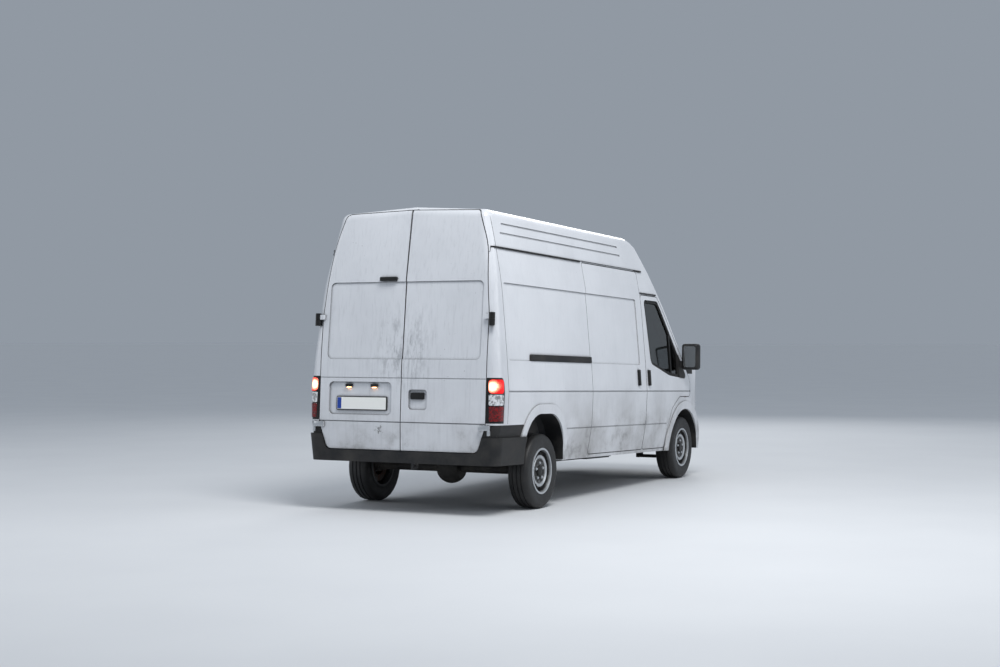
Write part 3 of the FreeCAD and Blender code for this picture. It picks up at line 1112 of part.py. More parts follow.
def hand_holes(name):
    """The ring of round holes through a wheel disc."""
    rods = []
    for number in range(HAND_HOLES):
        turn = f"{number} * 360deg / {HAND_HOLES}"
        rods.append(rod(f"hand_hole_{name}_{number}", "hand_hole", "30", "90",
                        (f"hand_hole_ring * cos({turn})", f"hand_hole_ring * sin({turn})")))
    return group(f"hand_holes_{name}", *rods)


HALF_TYRE = (("0.425", "rim_radius + seat_gap"), ("0.425", "rim_radius + 11"), ("0.49", "rim_radius + 45"),
             ("0.5", "rim_radius + 80"), ("0.47", "tyre_radius - 22"), ("0.40", "tyre_radius - 4"),
             ("0.34", "tyre_radius"))
TYRE = [(f"tyre_width * {share}", radius, 0) for share, radius in HALF_TYRE]
TYRE = TYRE + [(f"-({across_tyre})", radius, 0) for across_tyre, radius, rounding in reversed(TYRE)]
RIM = [("-98", "rim_radius + 10", 0), ("-88", "rim_radius + 10", 0), ("-88", "rim_radius", 0),
       ("88", "rim_radius", 0), ("88", "rim_radius + 10", 0), ("98", "rim_radius + 10", 0),
       ("98", "rim_radius - 8", 0), ("52", "rim_barrel", 0), ("80", "140", 0), ("64", "108", 0),
       ("62", "0", 0), ("50", "0", 0), ("50", "108", 0), ("66", "138", 0), ("40", "rim_barrel", 0),
       ("-98", "rim_barrel + 8", 0)]
for end, x in (("rear", "rear_overhang"), ("front", "(rear_overhang + wheelbase)")):
    for side, sign in SIDES:
        for kind, profile in (("tyre", TYRE), ("rim", RIM)):
            piece = turned(f"{kind}_{end}_{side}", profile)
            if kind == "rim":
                piece = cut(f"rim_pierced_{end}_{side}", piece, hand_holes(f"{end}_{side}"))
            if sign < 0:
                piece.Placement = Placement(Vector(), Rotation(Vector(0, 0, 1), 180))
            unsprung(f"{kind}_{end}_{side}", piece, x, f"{sign} * track_half", "tyre_radius")
for side, sign in SIDES:
    pin = f"{sign} * kingpin_y"
    upright = box(f"upright_{side}", ("-32", "32"), ("kingpin_y - 20", "kingpin_y + 30"),
                  ("-upright_low", "upright_high"), sign)
    low, high = ("kingpin_y - 20", "track_half + hub_reach")
    if sign < 0:
        low, high = f"-({high})", f"-({low})"
    hub = rod(f"front_hub_{side}", "hub_radius", low, high, ("0", "0"))
    unsprung(f"knuckle_{side}", fuse(f"knuckle_whole_{side}", upright, hub), "(rear_overhang + wheelbase)",
             "0", "tyre_radius")


# Every feature has to be sound before anything is written
doc.recompute()
for feature in doc.Objects:
    if "Invalid" in feature.State or "Error" in feature.State:
        raise RuntimeError(f"{feature.Name} failed: {feature.State}")
for label, feature in NODES:
    if feature.Shape.isNull() or not feature.Shape.isValid() or not feature.Shape.Solids:
        raise RuntimeError(f"{label} is not a sound solid")
os.makedirs("parts", exist_ok=True)
for label, feature in NODES:
    feature.Shape.exportStep(f"parts/{label}.step")
    span = feature.Shape.BoundBox
    print(f"{label}: {len(feature.Shape.Solids)} solid(s), {feature.Shape.Volume / 1e9:.4f} m3, "
          f"x {span.XMin:.0f} to {span.XMax:.0f}, y {span.YMin:.0f} to {span.YMax:.0f}, "
          f"z {span.ZMin:.0f} to {span.ZMax:.0f}")
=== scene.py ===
# %% [markdown]
# A high-roof panel van is a steel shell with doors, glass and running gear, and the CAD model gives all
# of those. Blender adds what a paint shop and a trim line add: enamel, rubber, glass, lamps, seats and
# plate. We load the CAD model first, because every later piece is placed by its sizes.

# %% Load the van
import math

import bmesh
import bpy
from mathutils import Matrix, Vector
from mathutils.bvhtree import BVHTree


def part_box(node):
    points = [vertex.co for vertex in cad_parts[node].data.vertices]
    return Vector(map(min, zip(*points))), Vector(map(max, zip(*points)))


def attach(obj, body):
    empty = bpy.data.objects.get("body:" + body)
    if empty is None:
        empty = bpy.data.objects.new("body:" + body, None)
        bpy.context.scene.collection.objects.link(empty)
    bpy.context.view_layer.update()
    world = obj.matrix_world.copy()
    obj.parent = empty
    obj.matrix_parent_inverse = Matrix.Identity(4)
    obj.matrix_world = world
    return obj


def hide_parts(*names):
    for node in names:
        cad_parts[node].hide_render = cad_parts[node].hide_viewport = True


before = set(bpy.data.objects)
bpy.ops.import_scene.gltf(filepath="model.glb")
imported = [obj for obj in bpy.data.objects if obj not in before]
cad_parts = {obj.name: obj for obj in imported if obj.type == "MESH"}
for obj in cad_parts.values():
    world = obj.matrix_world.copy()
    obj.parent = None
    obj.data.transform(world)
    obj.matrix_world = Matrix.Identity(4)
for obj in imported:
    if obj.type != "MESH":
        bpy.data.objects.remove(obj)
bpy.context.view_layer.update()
print("CAD nodes:", len(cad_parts))

# %% [markdown]
# The body stands nose down by 1.6 degrees, as an empty van does on its springs. It is easier to build
# level, in metres forward of the rear face, and then to lean each finished piece with one matrix.

# %% Level van to standing van
RAKE = math.radians(1.6)
REAR_AXLE_X, HALF_LENGTH = 0.997, 2.84
STAND = (Matrix.Translation((REAR_AXLE_X - HALF_LENGTH, 0, 0)) @ Matrix.Rotation(RAKE, 4, "Y")
         @ Matrix.Translation((-REAR_AXLE_X, 0, 0)))
SIDES = (("left", 1), ("right", -1))
print("rake:", round(math.degrees(RAKE), 2), "degrees")

# %% [markdown]
# A material is a small graph of nodes. One helper adds a node with its settings and its inputs, and one
# turns the colours that a painter reads off a chart (sRGB hex) into the linear numbers that light uses.

# %% Colours, nodes and links
UNDER, OVER = 6, 7  # the two colour inputs of a Mix node
EASED, COLOURS = {"interpolation_type": "SMOOTHSTEP"}, {"data_type": "RGBA"}


def linear(code):
    """An sRGB hex colour as linear red, green, blue and alpha."""
    parts = [int(code[at:at + 2], 16) / 255 for at in (1, 3, 5)]
    parts = [part / 12.92 if part <= 0.04045 else ((part + 0.055) / 1.055) ** 2.4 for part in parts]
    return (*parts, 1)


def feed(tree, node, inputs):
    """Feeds a node, by name or in order, from nodes, sockets or plain values."""
    for socket, value in (inputs.items() if isinstance(inputs, dict) else enumerate(inputs)):
        if isinstance(value, bpy.types.Node):
            value = next(output for output in value.outputs if output.enabled)
        if isinstance(value, bpy.types.NodeSocket):
            tree.links.new(value, node.inputs[socket])
        else:
            node.inputs[socket].default_value = value


def add(tree, kind, inputs=(), **settings):
    """A new node with its settings and its inputs."""
    made = tree.nodes.new(kind)
    for name, value in settings.items():
        setattr(made, name, value)
    feed(tree, made, inputs)
    return made


print("mid grey as light:", linear("#808080"))

# %% [markdown]
# Nothing on a used van has one flat colour. So each finish starts with one shader that can be layered,
# and two helpers serve them all: one lays patches of a second colour by a noise, and one joins colour,
# roughness and relief to the shader.

# %% A finish, its relief and its patches
FINISHES = {}


def finish(name, **values):
    """A material with one shader, and the object's own coordinates to hang patterns on."""
    made = bpy.data.materials.new(name)
    made.use_nodes = True
    tree = made.node_tree
    tree.nodes.clear()
    shader = add(tree, "ShaderNodeBsdfPrincipled", values)
    add(tree, "ShaderNodeOutputMaterial", (shader,))
    FINISHES[name] = made
    print("finish:", name)
    return tree, shader, add(tree, "ShaderNodeTexCoord").outputs["Object"]


def cover(tree, shader, colour, rough, height, strength, depth):
    """Gives the shader its colour, its roughness and a relief so many metres deep."""
    relief = add(tree, "ShaderNodeBump", {"Strength": strength, "Distance": depth, "Height": height})
    feed(tree, shader, {"Base Color": colour, "Roughness": rough, "Normal": relief})


def mottled(tree, place, noise, levels, under, over, **ease):
    """Patches of one colour over another: the noise, its share after two levels, and the mixed colour."""
    scale, detail, rough = noise
    patches = add(tree, "ShaderNodeTexNoise", {"Vector": place, "Scale": scale, "Detail": detail,
                                               "Roughness": rough})
    share = add(tree, "ShaderNodeMapRange", (patches, *levels), **ease)
    return patches, share, add(tree, "ShaderNodeMix", {"Factor": share, UNDER: under, OVER: over}, **COLOURS)


# %% [markdown]
# White enamel is sprayed, baked and then driven through a winter. Clean, it is a bright, slightly blue white
# under a clear gloss. Road film makes it grey: dust clings low down and to the tail, rain draws it into
# upright streaks, and hands smear it where the rear doors meet. Grooves and seams are darkened with painted
# shade, by how little of the sky they see. Patterns and zones are kept in two tables, and each layer of dirt
# or painted shade names those in which it lies.

# %% Patterns, zones and layers of dirt and painted shade
# Pattern: how its cells are stretched, cells a metre, detail, roughness, and the levels that it spans
PATTERNS = {
    "streak": ((30.0, 30.0, 1.3), 1.6, 9.0, 0.7, (0.47, 0.80)),
    "cloud": ((1.0, 1.0, 1.0), 1.6, 10.0, 0.6, (0.33, 0.75, 0.1)),
    "smear": ((18.0, 18.0, 6.0), 1.0, 12.0, 0.75, (0.47, 0.64)),
    "spray": ((1.0, 1.0, 1.0), 3.2, 14.0, 0.72, (0.50, 0.72)),
    "speck": ((1.0, 1.0, 1.0), 60.0, 2.0, 0.5, (0.735, 0.76)),
    "patch": ((1.0, 1.0, 1.0), 3.0, 3.0, 0.5, (0.5, 0.65)),
}
# Zone: the way that it is measured, in metres or as open sky, where it starts and where it is full
ZONES = {
    "low": ("up", 1.25, 0.42), "lowest": ("up", 0.92, 0.55), "over waist": ("up", 1.02, 1.30),
    "under roof": ("up", 2.0, 1.55), "tail": ("along", -2.50, -2.70), "seam": ("aside", 0.42, 0.02),
    # Where a point sees little open sky, in grooves and seams, the paint gets painted shade
    "painted groove shade": ("open sky", 0.90, 0.45),
}
# Splashes of mud on the rear doors: place on the standing van and size, in metres
SPLASHES = (((-2.79, 0.22, 0.75), 0.060), ((-2.76, 0.19, 1.45), 0.022), ((-2.79, -0.55, 0.78), 0.026),
            ((-2.79, -0.60, 0.78), 0.020))
HANDS = ("tail", "seam", "over waist", "under roof")
# Layer, from the paint up: where it lies, its colour and how much it hides
LAYERS = (
    (("cloud",), "#9FA2A8", 0.20), (("tail",), "#A4A8AE", 0.22), (("streak", "rear half"), "#7D8088", 0.26),
    (HANDS + ("smear",), "#6A6D74", 0.55), (HANDS + ("streak",), "#5F6269", 0.50),
    (("dust",), "#6E6861", 0.60), (("spray", "lowest"), "#35312D", 0.50),
    # The last layer, #2A2928, darkens grooves and seams with painted shade
    (("speck", "patch"), "#3A3633", 0.90), (("splash",), "#3B3733", 0.80), (("painted groove shade",), "#2A2928", 0.85),
)
print("patterns:", len(PATTERNS), "zones:", len(ZONES), "layers of dirt:", len(LAYERS))

# %% [markdown]
# Dirt could be painted by hand on an image, but then it would stretch when the part is resized. Here each
# row of the tables becomes a few nodes: a mask for each pattern and zone, their product for each layer.

# %% White enamel with road film and painted shade in its grooves


def enamel(name, base, film):
    """Van paint; film from 0 to 1 says how dirty it is, and how dark the painted shade in its grooves and
    seams is.
    """
    tree, shader, place = finish(name, **{"IOR": 1.5, "Coat Weight": 0.35, "Coat Roughness": 0.12})
    along, across, up = add(tree, "ShaderNodeSeparateXYZ", (place,)).outputs
    ways = {"along": along, "up": up, "aside": add(tree, "ShaderNodeMath", (across,), operation="ABSOLUTE")}
    # Ambient occlusion: how much open sky a point sees, which sets the painted shade in grooves and seams
    ways["open sky"] = add(tree, "ShaderNodeAmbientOcclusion", {"Distance": 0.025}, samples=4).outputs["AO"]
    masks = {zone: add(tree, "ShaderNodeMapRange", (ways[way], start, full), **EASED)
             for zone, (way, start, full) in ZONES.items()}
    for pattern, (stretch, scale, detail, rough, levels) in PATTERNS.items():
        cells = add(tree, "ShaderNodeMapping", {"Vector": place, "Scale": stretch})
        cells = add(tree, "ShaderNodeTexNoise", {"Vector": cells, "Scale": scale, "Detail": detail,
                                                 "Roughness": rough})
        masks[pattern] = add(tree, "ShaderNodeMapRange", (cells, *levels), **EASED)
    masks["rear half"] = add(tree, "ShaderNodeMapRange", (masks["tail"], 0.0, 1.0, 0.35), **EASED)
    masks["dust"] = add(tree, "ShaderNodeMath", (masks["low"], masks["cloud"]), operation="MULTIPLY")
    masks["splash"] = 0.0
    torn = add(tree, "ShaderNodeTexNoise", {"Vector": place, "Scale": 38.0, "Detail": 5.0, "Roughness": 0.7})
    for spot, size in SPLASHES:
        apart = add(tree, "ShaderNodeVectorMath", (place, spot), operation="DISTANCE")
        apart = add(tree, "ShaderNodeMath", (torn, size * 2.4, apart), operation="MULTIPLY_ADD")
        mud = add(tree, "ShaderNodeMapRange", (apart, size * 2.1, size * 1.75), **EASED)
        masks["splash"] = add(tree, "ShaderNodeMath", (mud, masks["splash"]), operation="MAXIMUM")
    colour = linear(base)
    for places, dirt, share in LAYERS:
        mask = share * film
        for where in places:
            mask = add(tree, "ShaderNodeMath", (masks[where], mask), operation="MULTIPLY")
        colour = add(tree, "ShaderNodeMix", {"Factor": mask, UNDER: colour, OVER: linear(dirt)}, **COLOURS)
    rough = add(tree, "ShaderNodeMath", (masks["dust"], masks["streak"]), operation="ADD")
    rough = add(tree, "ShaderNodeMapRange", (rough, 0.0, 1.0, 0.33, 0.62), **EASED)
    # Orange peel, the faint ripple of sprayed paint: about 8 mm from crest to crest
    peel = add(tree, "ShaderNodeTexNoise", {"Vector": place, "Scale": 120.0, "Detail": 2.0, "Roughness": 0.5})
    cover(tree, shader, colour, rough, peel, 0.06, 0.001)


enamel("white enamel", "#DADCE0", 1.0)
enamel("white enamel inside", "#CDD0D3", 0.35)

# %% [markdown]
# Bumpers, mirrors and grille are moulded in black polypropylene. Its skin has a leather-like grain that
# scatters light, so black looks dark grey and never mirrors. The real grain is finer than a millimetre;
# ours is drawn at 4 mm so that it shows. Dust settles where the noise is high.

# %% Grained plastic


def grained(name, base, dust, grain, roughness):
    """A moulded plastic with grain at so many cells a metre, and a film of dust."""
    tree, shader, place = finish(name, **{"IOR": 1.47, "Specular IOR Level": 0.4})
    cells = add(tree, "ShaderNodeTexVoronoi", {"Vector": place, "Scale": grain}, feature="SMOOTH_F1")
    cloud, film, colour = mottled(tree, place, (4.0, 8.0, 0.65), (0.4, 0.8, 0.0, dust), linear(base),
                                  linear("#6A655F"))
    rough = add(tree, "ShaderNodeMapRange", (cloud, 0.3, 0.8, roughness, roughness + 0.2))
    cover(tree, shader, colour, rough, cells, 0.25, 0.0006)


grained("moulded black polypropylene", "#141517", 0.28, 250.0, 0.5)
grained("smooth black ABS", "#0B0C0D", 0.10, 500.0, 0.32)
grained("grey cab plastic", "#3C4046", 0.10, 300.0, 0.55)
grained("black rubber seal", "#0E0E0F", 0.15, 400.0, 0.6)
grained("road-stained primer", "#34363A", 0.75, 90.0, 0.62)
grained("rough black casting", "#232221", 0.55, 140.0, 0.6)

# %% [markdown]
# Safety glass is a little green in its thickness, and vans have it tinted. It needs transmission, so that the
# cab shows through it, and a low roughness, so that it mirrors the sky. A lamp's lens is the same with coarse
# prisms moulded in, and some of it glows: a lit lamp shines through it, and unlit lenses get a faint painted
# glow.

# %% Glass and lamp lenses


def clear(name, tint, roughness, lit=0.0, transmission=1.0, prisms=0.0):
    """Glass or a moulded lens; lit is how strongly a lamp shines through it, or how strong a faint painted
    glow on an unlit lens is; prisms a count per metre.
    """
    tree, shader, place = finish(name, **{"IOR": 1.5, "Transmission Weight": transmission,
                                          "Emission Strength": lit})
    darker = tuple(part * 0.8 for part in linear(tint)[:3]) + (1,)
    film, share, colour = mottled(tree, place, (7.0, 6.0, 0.5), (0.3, 0.8, 0.0, 0.35), linear(tint), darker)
    rough = add(tree, "ShaderNodeMapRange", (film, 0.3, 0.8, roughness, roughness + 0.08))
    feed(tree, shader, {"Base Color": colour, "Emission Color": colour, "Roughness": rough})
    if prisms:
        cells = add(tree, "ShaderNodeTexVoronoi", {"Vector": place, "Scale": prisms}, distance="CHEBYCHEV")
        dim = add(tree, "ShaderNodeSeparateColor", (cells.outputs["Color"],)).outputs[0]
        dim = add(tree, "ShaderNodeMapRange", (dim, 0.2, 0.9, 0.0, 0.75), **EASED)
        colour = add(tree, "ShaderNodeMix", {"Factor": dim, UNDER: colour, OVER: linear("#101011")},
                     **COLOURS)
        cover(tree, shader, colour, rough, cells, 0.8, 0.002)


clear("tinted safety glass", "#4C5957", 0.02)
clear("clear acrylic lens", "#E8ECEE", 0.04)
# The reflector is no lamp: its faint glow is painted light
clear("red acrylic lens", "#7A0A0D", 0.10, 0.06, 0.1, prisms=70.0)
# The reversing light is off: its faint glow is painted light
clear("frosted clear lens", "#E6E9EC", 0.15, 0.1, 0.3, prisms=60.0)
clear("lit white lens", "#FFC088", 0.2, 5.0, 0.1)
clear("amber acrylic lens", "#E07A14", 0.1, 0.0, 0.3)

# %% [markdown]
# Metals keep Blender's default IOR and differ in colour and roughness. Silver wheel paint is a metal
# flake paint; spring steel and exhaust tube are bare steel that has rusted, so a noise mixes a matt
# brown over the metal and takes its gloss away at the same places.

# %% Metals


def metal(name, base, rust, share, roughness, scale):
    """A metal with patches of rust or brake dust over a share of it."""
    tree, shader, place = finish(name)
    levels = (0.66 - share * 0.3, 0.78 - share * 0.3)
    noise, patches, colour = mottled(tree, place, (scale, 9.0, 0.7), levels, linear(base), linear(rust))
    feed(tree, shader, {"Metallic": add(tree, "ShaderNodeMapRange", (patches, 0.0, 1.0, 0.9, 0.1))})
    rough = add(tree, "ShaderNodeMapRange", (patches, 0.0, 1.0, roughness, 0.85))
    cover(tree, shader, colour, rough, noise, 0.2, 0.0008)


metal("rolled spring steel", "#4B4744", "#4A3226", 0.8, 0.5, 22.0)
metal("dull exhaust steel", "#8C8680", "#5A4333", 0.55, 0.42, 18.0)
metal("zinc-plated steel", "#B9BCBF", "#5B5650", 0.15, 0.35, 60.0)
metal("lamp reflector", "#E4E6E8", "#C9CCD0", 0.05, 0.12, 30.0)
metal("mirror glass", "#D7DBDE", "#C4C9CC", 0.02, 0.03, 12.0)

# %% [markdown]
# Tyre rubber is carbon black in rubber. Wet from the road it is deep black with a soft sheen, and the
# sidewall is finely ribbed in rings round the axle. The rings come from the distance to the wheel's
# centre, which each wheel's own mapping node moves to the origin.

# %% Tyre rubber
RIBS = 900.0  # ripples across the sidewall, in radians a metre: a rib every 7 mm


def from_axle(tree, place, centre):
    """The wheel's own coordinates, and the distance from its axle."""
    parts = add(tree, "ShaderNodeMapping", {"Vector": place, "Location": [-part for part in centre]})
    parts = add(tree, "ShaderNodeSeparateXYZ", (parts,)).outputs
    flat = add(tree, "ShaderNodeCombineXYZ", {"X": parts["X"], "Z": parts["Z"]})
    return parts, add(tree, "ShaderNodeVectorMath", (flat,), operation="LENGTH")


def tyre_rubber(name, centre):
    """Rubber whose ribs run round one wheel centre."""
    tree, shader, place = finish(name, **{"IOR": 1.52, "Specular IOR Level": 0.45})
    parts, radius = from_axle(tree, place, centre)
    ribs = add(tree, "ShaderNodeMath", (radius, RIBS), operation="MULTIPLY")
    ribs = add(tree, "ShaderNodeMath", (ribs,), operation="SINE")
    mud, film, colour = mottled(tree, place, (14.0, 8.0, 0.7), (0.45, 0.8, 0.0, 0.3), linear("#161617"),
                                linear("#4A4641"))
    rough = add(tree, "ShaderNodeMapRange", (mud, 0.3, 0.8, 0.42, 0.7))
    cover(tree, shader, colour, rough, ribs, 0.3, 0.0008)


# %% [markdown]
# A steel wheel is a rim with a pressed disc, painted silver. Its raised rings stay bright. The hollow between
# them, where the hand holes lie in shadow, and the middle round the hub are darkened with painted shade mixed
# with brake dust, so its colour is a function of the distance from the axle. Its inner side, which faces the
# van, gets painted shade as well.

# %% Wheel enamel
# Distance from the axle in metres, and how dark the paint is there: painted shade of the hand holes and the
# hub, mixed with brake dust
SHADE_AND_DUST_RINGS = ((0.0, 1.0), (0.112, 0.8), (0.130, 0.0), (0.144, 0.0), (0.152, 1.0), (0.188, 1.0), (0.200, 0.1),
         (0.215, 0.0))
RING_SPAN = 4  # a colour ramp ends at 1, so distances are written as quarters of a metre


def wheel_enamel(name, centre, out):
    """Silver paint, bright on the raised rings of one wheel, with painted shade and brake dust between them
    and round the hub, and painted shade on its inner side.
    """
    tree, shader, place = finish(name, **{"Coat Weight": 0.2, "Coat Roughness": 0.2})
    parts, radius = from_axle(tree, place, centre)
    noise = add(tree, "ShaderNodeTexNoise", {"Vector": place, "Scale": 26.0, "Detail": 8.0, "Roughness": 0.7})
    ripple = add(tree, "ShaderNodeMapRange", (noise, 0.0, 1.0, -0.005, 0.005))
    radius = add(tree, "ShaderNodeMath", (radius, ripple), operation="ADD")
    radius = add(tree, "ShaderNodeMath", (radius, RING_SPAN), operation="MULTIPLY")
    ramp = add(tree, "ShaderNodeValToRGB", (radius,))
    stops = ramp.color_ramp.elements
    stops.remove(stops[1])
    stops[0].color = (SHADE_AND_DUST_RINGS[0][1],) * 3 + (1,)
    for reach, dust in SHADE_AND_DUST_RINGS[1:]:
        stops.new(reach * RING_SPAN).color = (dust, dust, dust, 1)
    # dust here is painted shade of the hand holes and hub mixed with brake dust, made patchy by the noise
    dust = add(tree, "ShaderNodeMath", (ramp, noise), operation="MULTIPLY")
    dust = add(tree, "ShaderNodeMapRange", (dust, 0.05, 0.42))
    # Painted shade: the wheel's inner side, which faces the van, is darkened
    inside = add(tree, "ShaderNodeMapRange", (parts["Y"], out * 0.05, out * 0.02, 0.0, 0.9))
    dust = add(tree, "ShaderNodeMath", (dust, inside), operation="MAXIMUM")
    colour = add(tree, "ShaderNodeMix", {"Factor": dust, UNDER: linear("#BEC1C4"), OVER: linear("#1C1B1A")},
                 **COLOURS)
    feed(tree, shader, {"Metallic": add(tree, "ShaderNodeMapRange", (dust, 0.0, 1.0, 0.75, 0.1))})
    rough = add(tree, "ShaderNodeMapRange", (dust, 0.0, 1.0, 0.36, 0.8))
    cover(tree, shader, colour, rough, noise, 0.15, 0.0006)


WHEELS = {}
for end in ("rear", "front"):
    for side, sign in SIDES:
        low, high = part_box(f"tyre_{end}_{side}")
        WHEELS[end, side] = (Vector(low) + Vector(high)) / 2
        tyre_rubber(f"wet tyre rubber {end} {side}", WHEELS[end, side])
        wheel_enamel(f"silver wheel enamel {end} {side}", WHEELS[end, side], sign)
print("wheels:", len(WHEELS))

# %% [markdown]
# Seat cloth is a flat weave of dark yarn. Two crossed wave patterns give the warp and the weft, and a
# slow noise gives the worn patches. The yarn is drawn 4 mm wide, coarser than life, so that it shows.

# %% Seat cloth
tree, shader, place = finish("woven seat cloth", **{"IOR": 1.45, "Sheen Weight": 0.4, "Sheen Roughness": 0.5})
threads = {"Vector": place, "Scale": 80.0, "Distortion": 0.6}
warp, weft = (add(tree, "ShaderNodeTexWave", threads, bands_direction=way) for way in ("Y", "DIAGONAL"))
weave = add(tree, "ShaderNodeMath", (warp, weft), operation="MULTIPLY")
dark, pale = linear("#1E2126"), linear("#3A3F47")
yarn = add(tree, "ShaderNodeMix", {"Factor": weave, UNDER: dark, OVER: pale}, **COLOURS)
wear, worn, cloth = mottled(tree, place, (6.0, 5.0, 0.5), (0.5, 0.8, 0.0, 0.35), yarn, linear("#5A5C60"))
cover(tree, shader, cloth, 0.9, weave, 0.35, 0.001)
print("finishes:", len(FINISHES))

# %% [markdown]
# Each CAD part gets the finish that its real twin has. The table reads like a paint list: a finish, and
# the parts whose names start so.

# %% Paint the CAD parts
PAINT_LIST = {
    "white enamel": ("body_side", "roof", "front_wing", "bonnet", "rear_door", "front_door", "sliding_door"),
    "moulded black polypropylene": ("cowl", "grille_panel", "front_bumper", "rear_bumper", "rail_cover",
                                    "mirror"),
    "tinted safety glass": ("windscreen", "door_glass"), "white enamel inside": ("bulkhead",),
    "smooth black ABS": ("headlamps", "tail_lamps", "fuel_tank", "steering_wheel"),
    "road-stained primer": ("floor_pan", "chassis_frame"), "dull exhaust steel": ("exhaust",),
    "rough black casting": ("front_suspension", "engine", "rear_axle", "knuckle"),
    "rolled spring steel": ("leaf_springs",), "woven seat cloth": ("seats",),
    "grey cab plastic": ("dashboard",),
}
for end, side in WHEELS:
    PAINT_LIST[f"wet tyre rubber {end} {side}"] = (f"tyre_{end}_{side}",)
    PAINT_LIST[f"silver wheel enamel {end} {side}"] = (f"rim_{end}_{side}",)
for name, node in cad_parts.items():
    found = [paint for paint, starts in PAINT_LIST.items() if name.startswith(starts)]
    node.data.materials.clear()
    node.data.materials.append(FINISHES[found[0]])
print("painted parts:", len(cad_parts))

# %% [markdown]
# Every new piece ends the same way: lean it with the body, give it smooth normals with crisp edges, its
# finish, and the body that carries it. One function does that, so no piece can be left behind.

# %% A finished piece
# Slot, and the finishes that belong to it
SLOTS = {
    "black_plastic": ("moulded black polypropylene", "smooth black ABS", "black rubber seal",
                      "grey cab plastic", "birch plywood"),
    "lamp_lens": ("lamp reflector", "clear acrylic lens", "amber acrylic lens", "lit white lens"),
    "red_lens": ("lit red lens", "frosted clear lens", "red acrylic lens", "blue plate band"),
    "wheel_silver": ("zinc-plated steel", "mirror glass"), "window_glass": ("reflective plate film",),
    "white_paint": ("white enamel",), "cast_iron": ("rolled spring steel",),
    "seat_fabric": ("woven seat cloth",), "tyre_rubber": ("wet tyre rubber",),
}


def make(name, bm, paint, body, slot=None, level=True, crease=35):
    """Turns a bmesh into a piece of the van; level pieces are leaned with the body."""
    if level:
        bmesh.ops.transform(bm, matrix=STAND, verts=bm.verts)
    bmesh.ops.recalc_face_normals(bm, faces=bm.faces)
    mesh = bpy.data.meshes.new(name)
    bm.to_mesh(mesh)
    bm.free()
    mesh.materials.append(FINISHES[paint])
    mesh.shade_smooth()
    mesh.set_sharp_from_angle(angle=math.radians(crease))
    made = bpy.data.objects.new(name, mesh)
    bpy.context.scene.collection.objects.link(made)
    slot = slot or next(slot for slot, finishes in SLOTS.items() if paint.startswith(finishes))
    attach(made, body)
    print(f"{name}: {len(mesh.polygons)} faces")
    return made


# %% [markdown]
# Much of a van's trim is glued or clipped flat on a skin that bulges. To find that skin, rays are shot at
# the CAD parts, as a hand would press the trim on from outside. Each way of looking at the van is named.

# %% The skin and the ways to look at it
TREES = {}


def surface(*nodes):
    """The skin of some CAD parts in the level van, ready for rays."""
    if nodes not in TREES:
        verts, faces = [], []
        for mesh in (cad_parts[name].data for name in nodes):
            start = len(verts)
            verts += [STAND.inverted() @ vert.co for vert in mesh.vertices]
            faces += [tuple(start + corner for corner in polygon.vertices) for polygon in mesh.polygons]
        TREES[nodes] = BVHTree.FromPolygons(verts, faces)
    return TREES[nodes]


# How each side of the van is looked at: where (u, v) lies, and which way a ray goes in
LOOKS = {
    "rear": (lambda u, v: Vector((-1, u, v)), Vector((1, 0, 0))),
    "front": (lambda u, v: Vector((7, u, v)), Vector((-1, 0, 0))),
    "right": (lambda u, v: Vector((u, -2, v)), Vector((0, 1, 0))),
    "left": (lambda u, v: Vector((u, 2, v)), Vector((0, -1, 0))),
    "top": (lambda u, v: Vector((u, v, 4)), Vector((0, 0, -1))),
    "inside right": (lambda u, v: Vector((u, 0, v)), Vector((0, -1, 0))),
    "inside left": (lambda u, v: Vector((u, 0, v)), Vector((0, 1, 0))),
    "inside rear": (lambda u, v: Vector((2, u, v)), Vector((-1, 0, 0))),
}
print("ways to look at the van:", len(LOOKS))

# %% [markdown]
# A piece of trim is then a sheet: its outline is drawn flat with round corners, cut into a grid so that
# it can bend, dropped on the skin by rays, and made thick. A box set by eye would float or sink in.

# %% Sheets laid on the skin


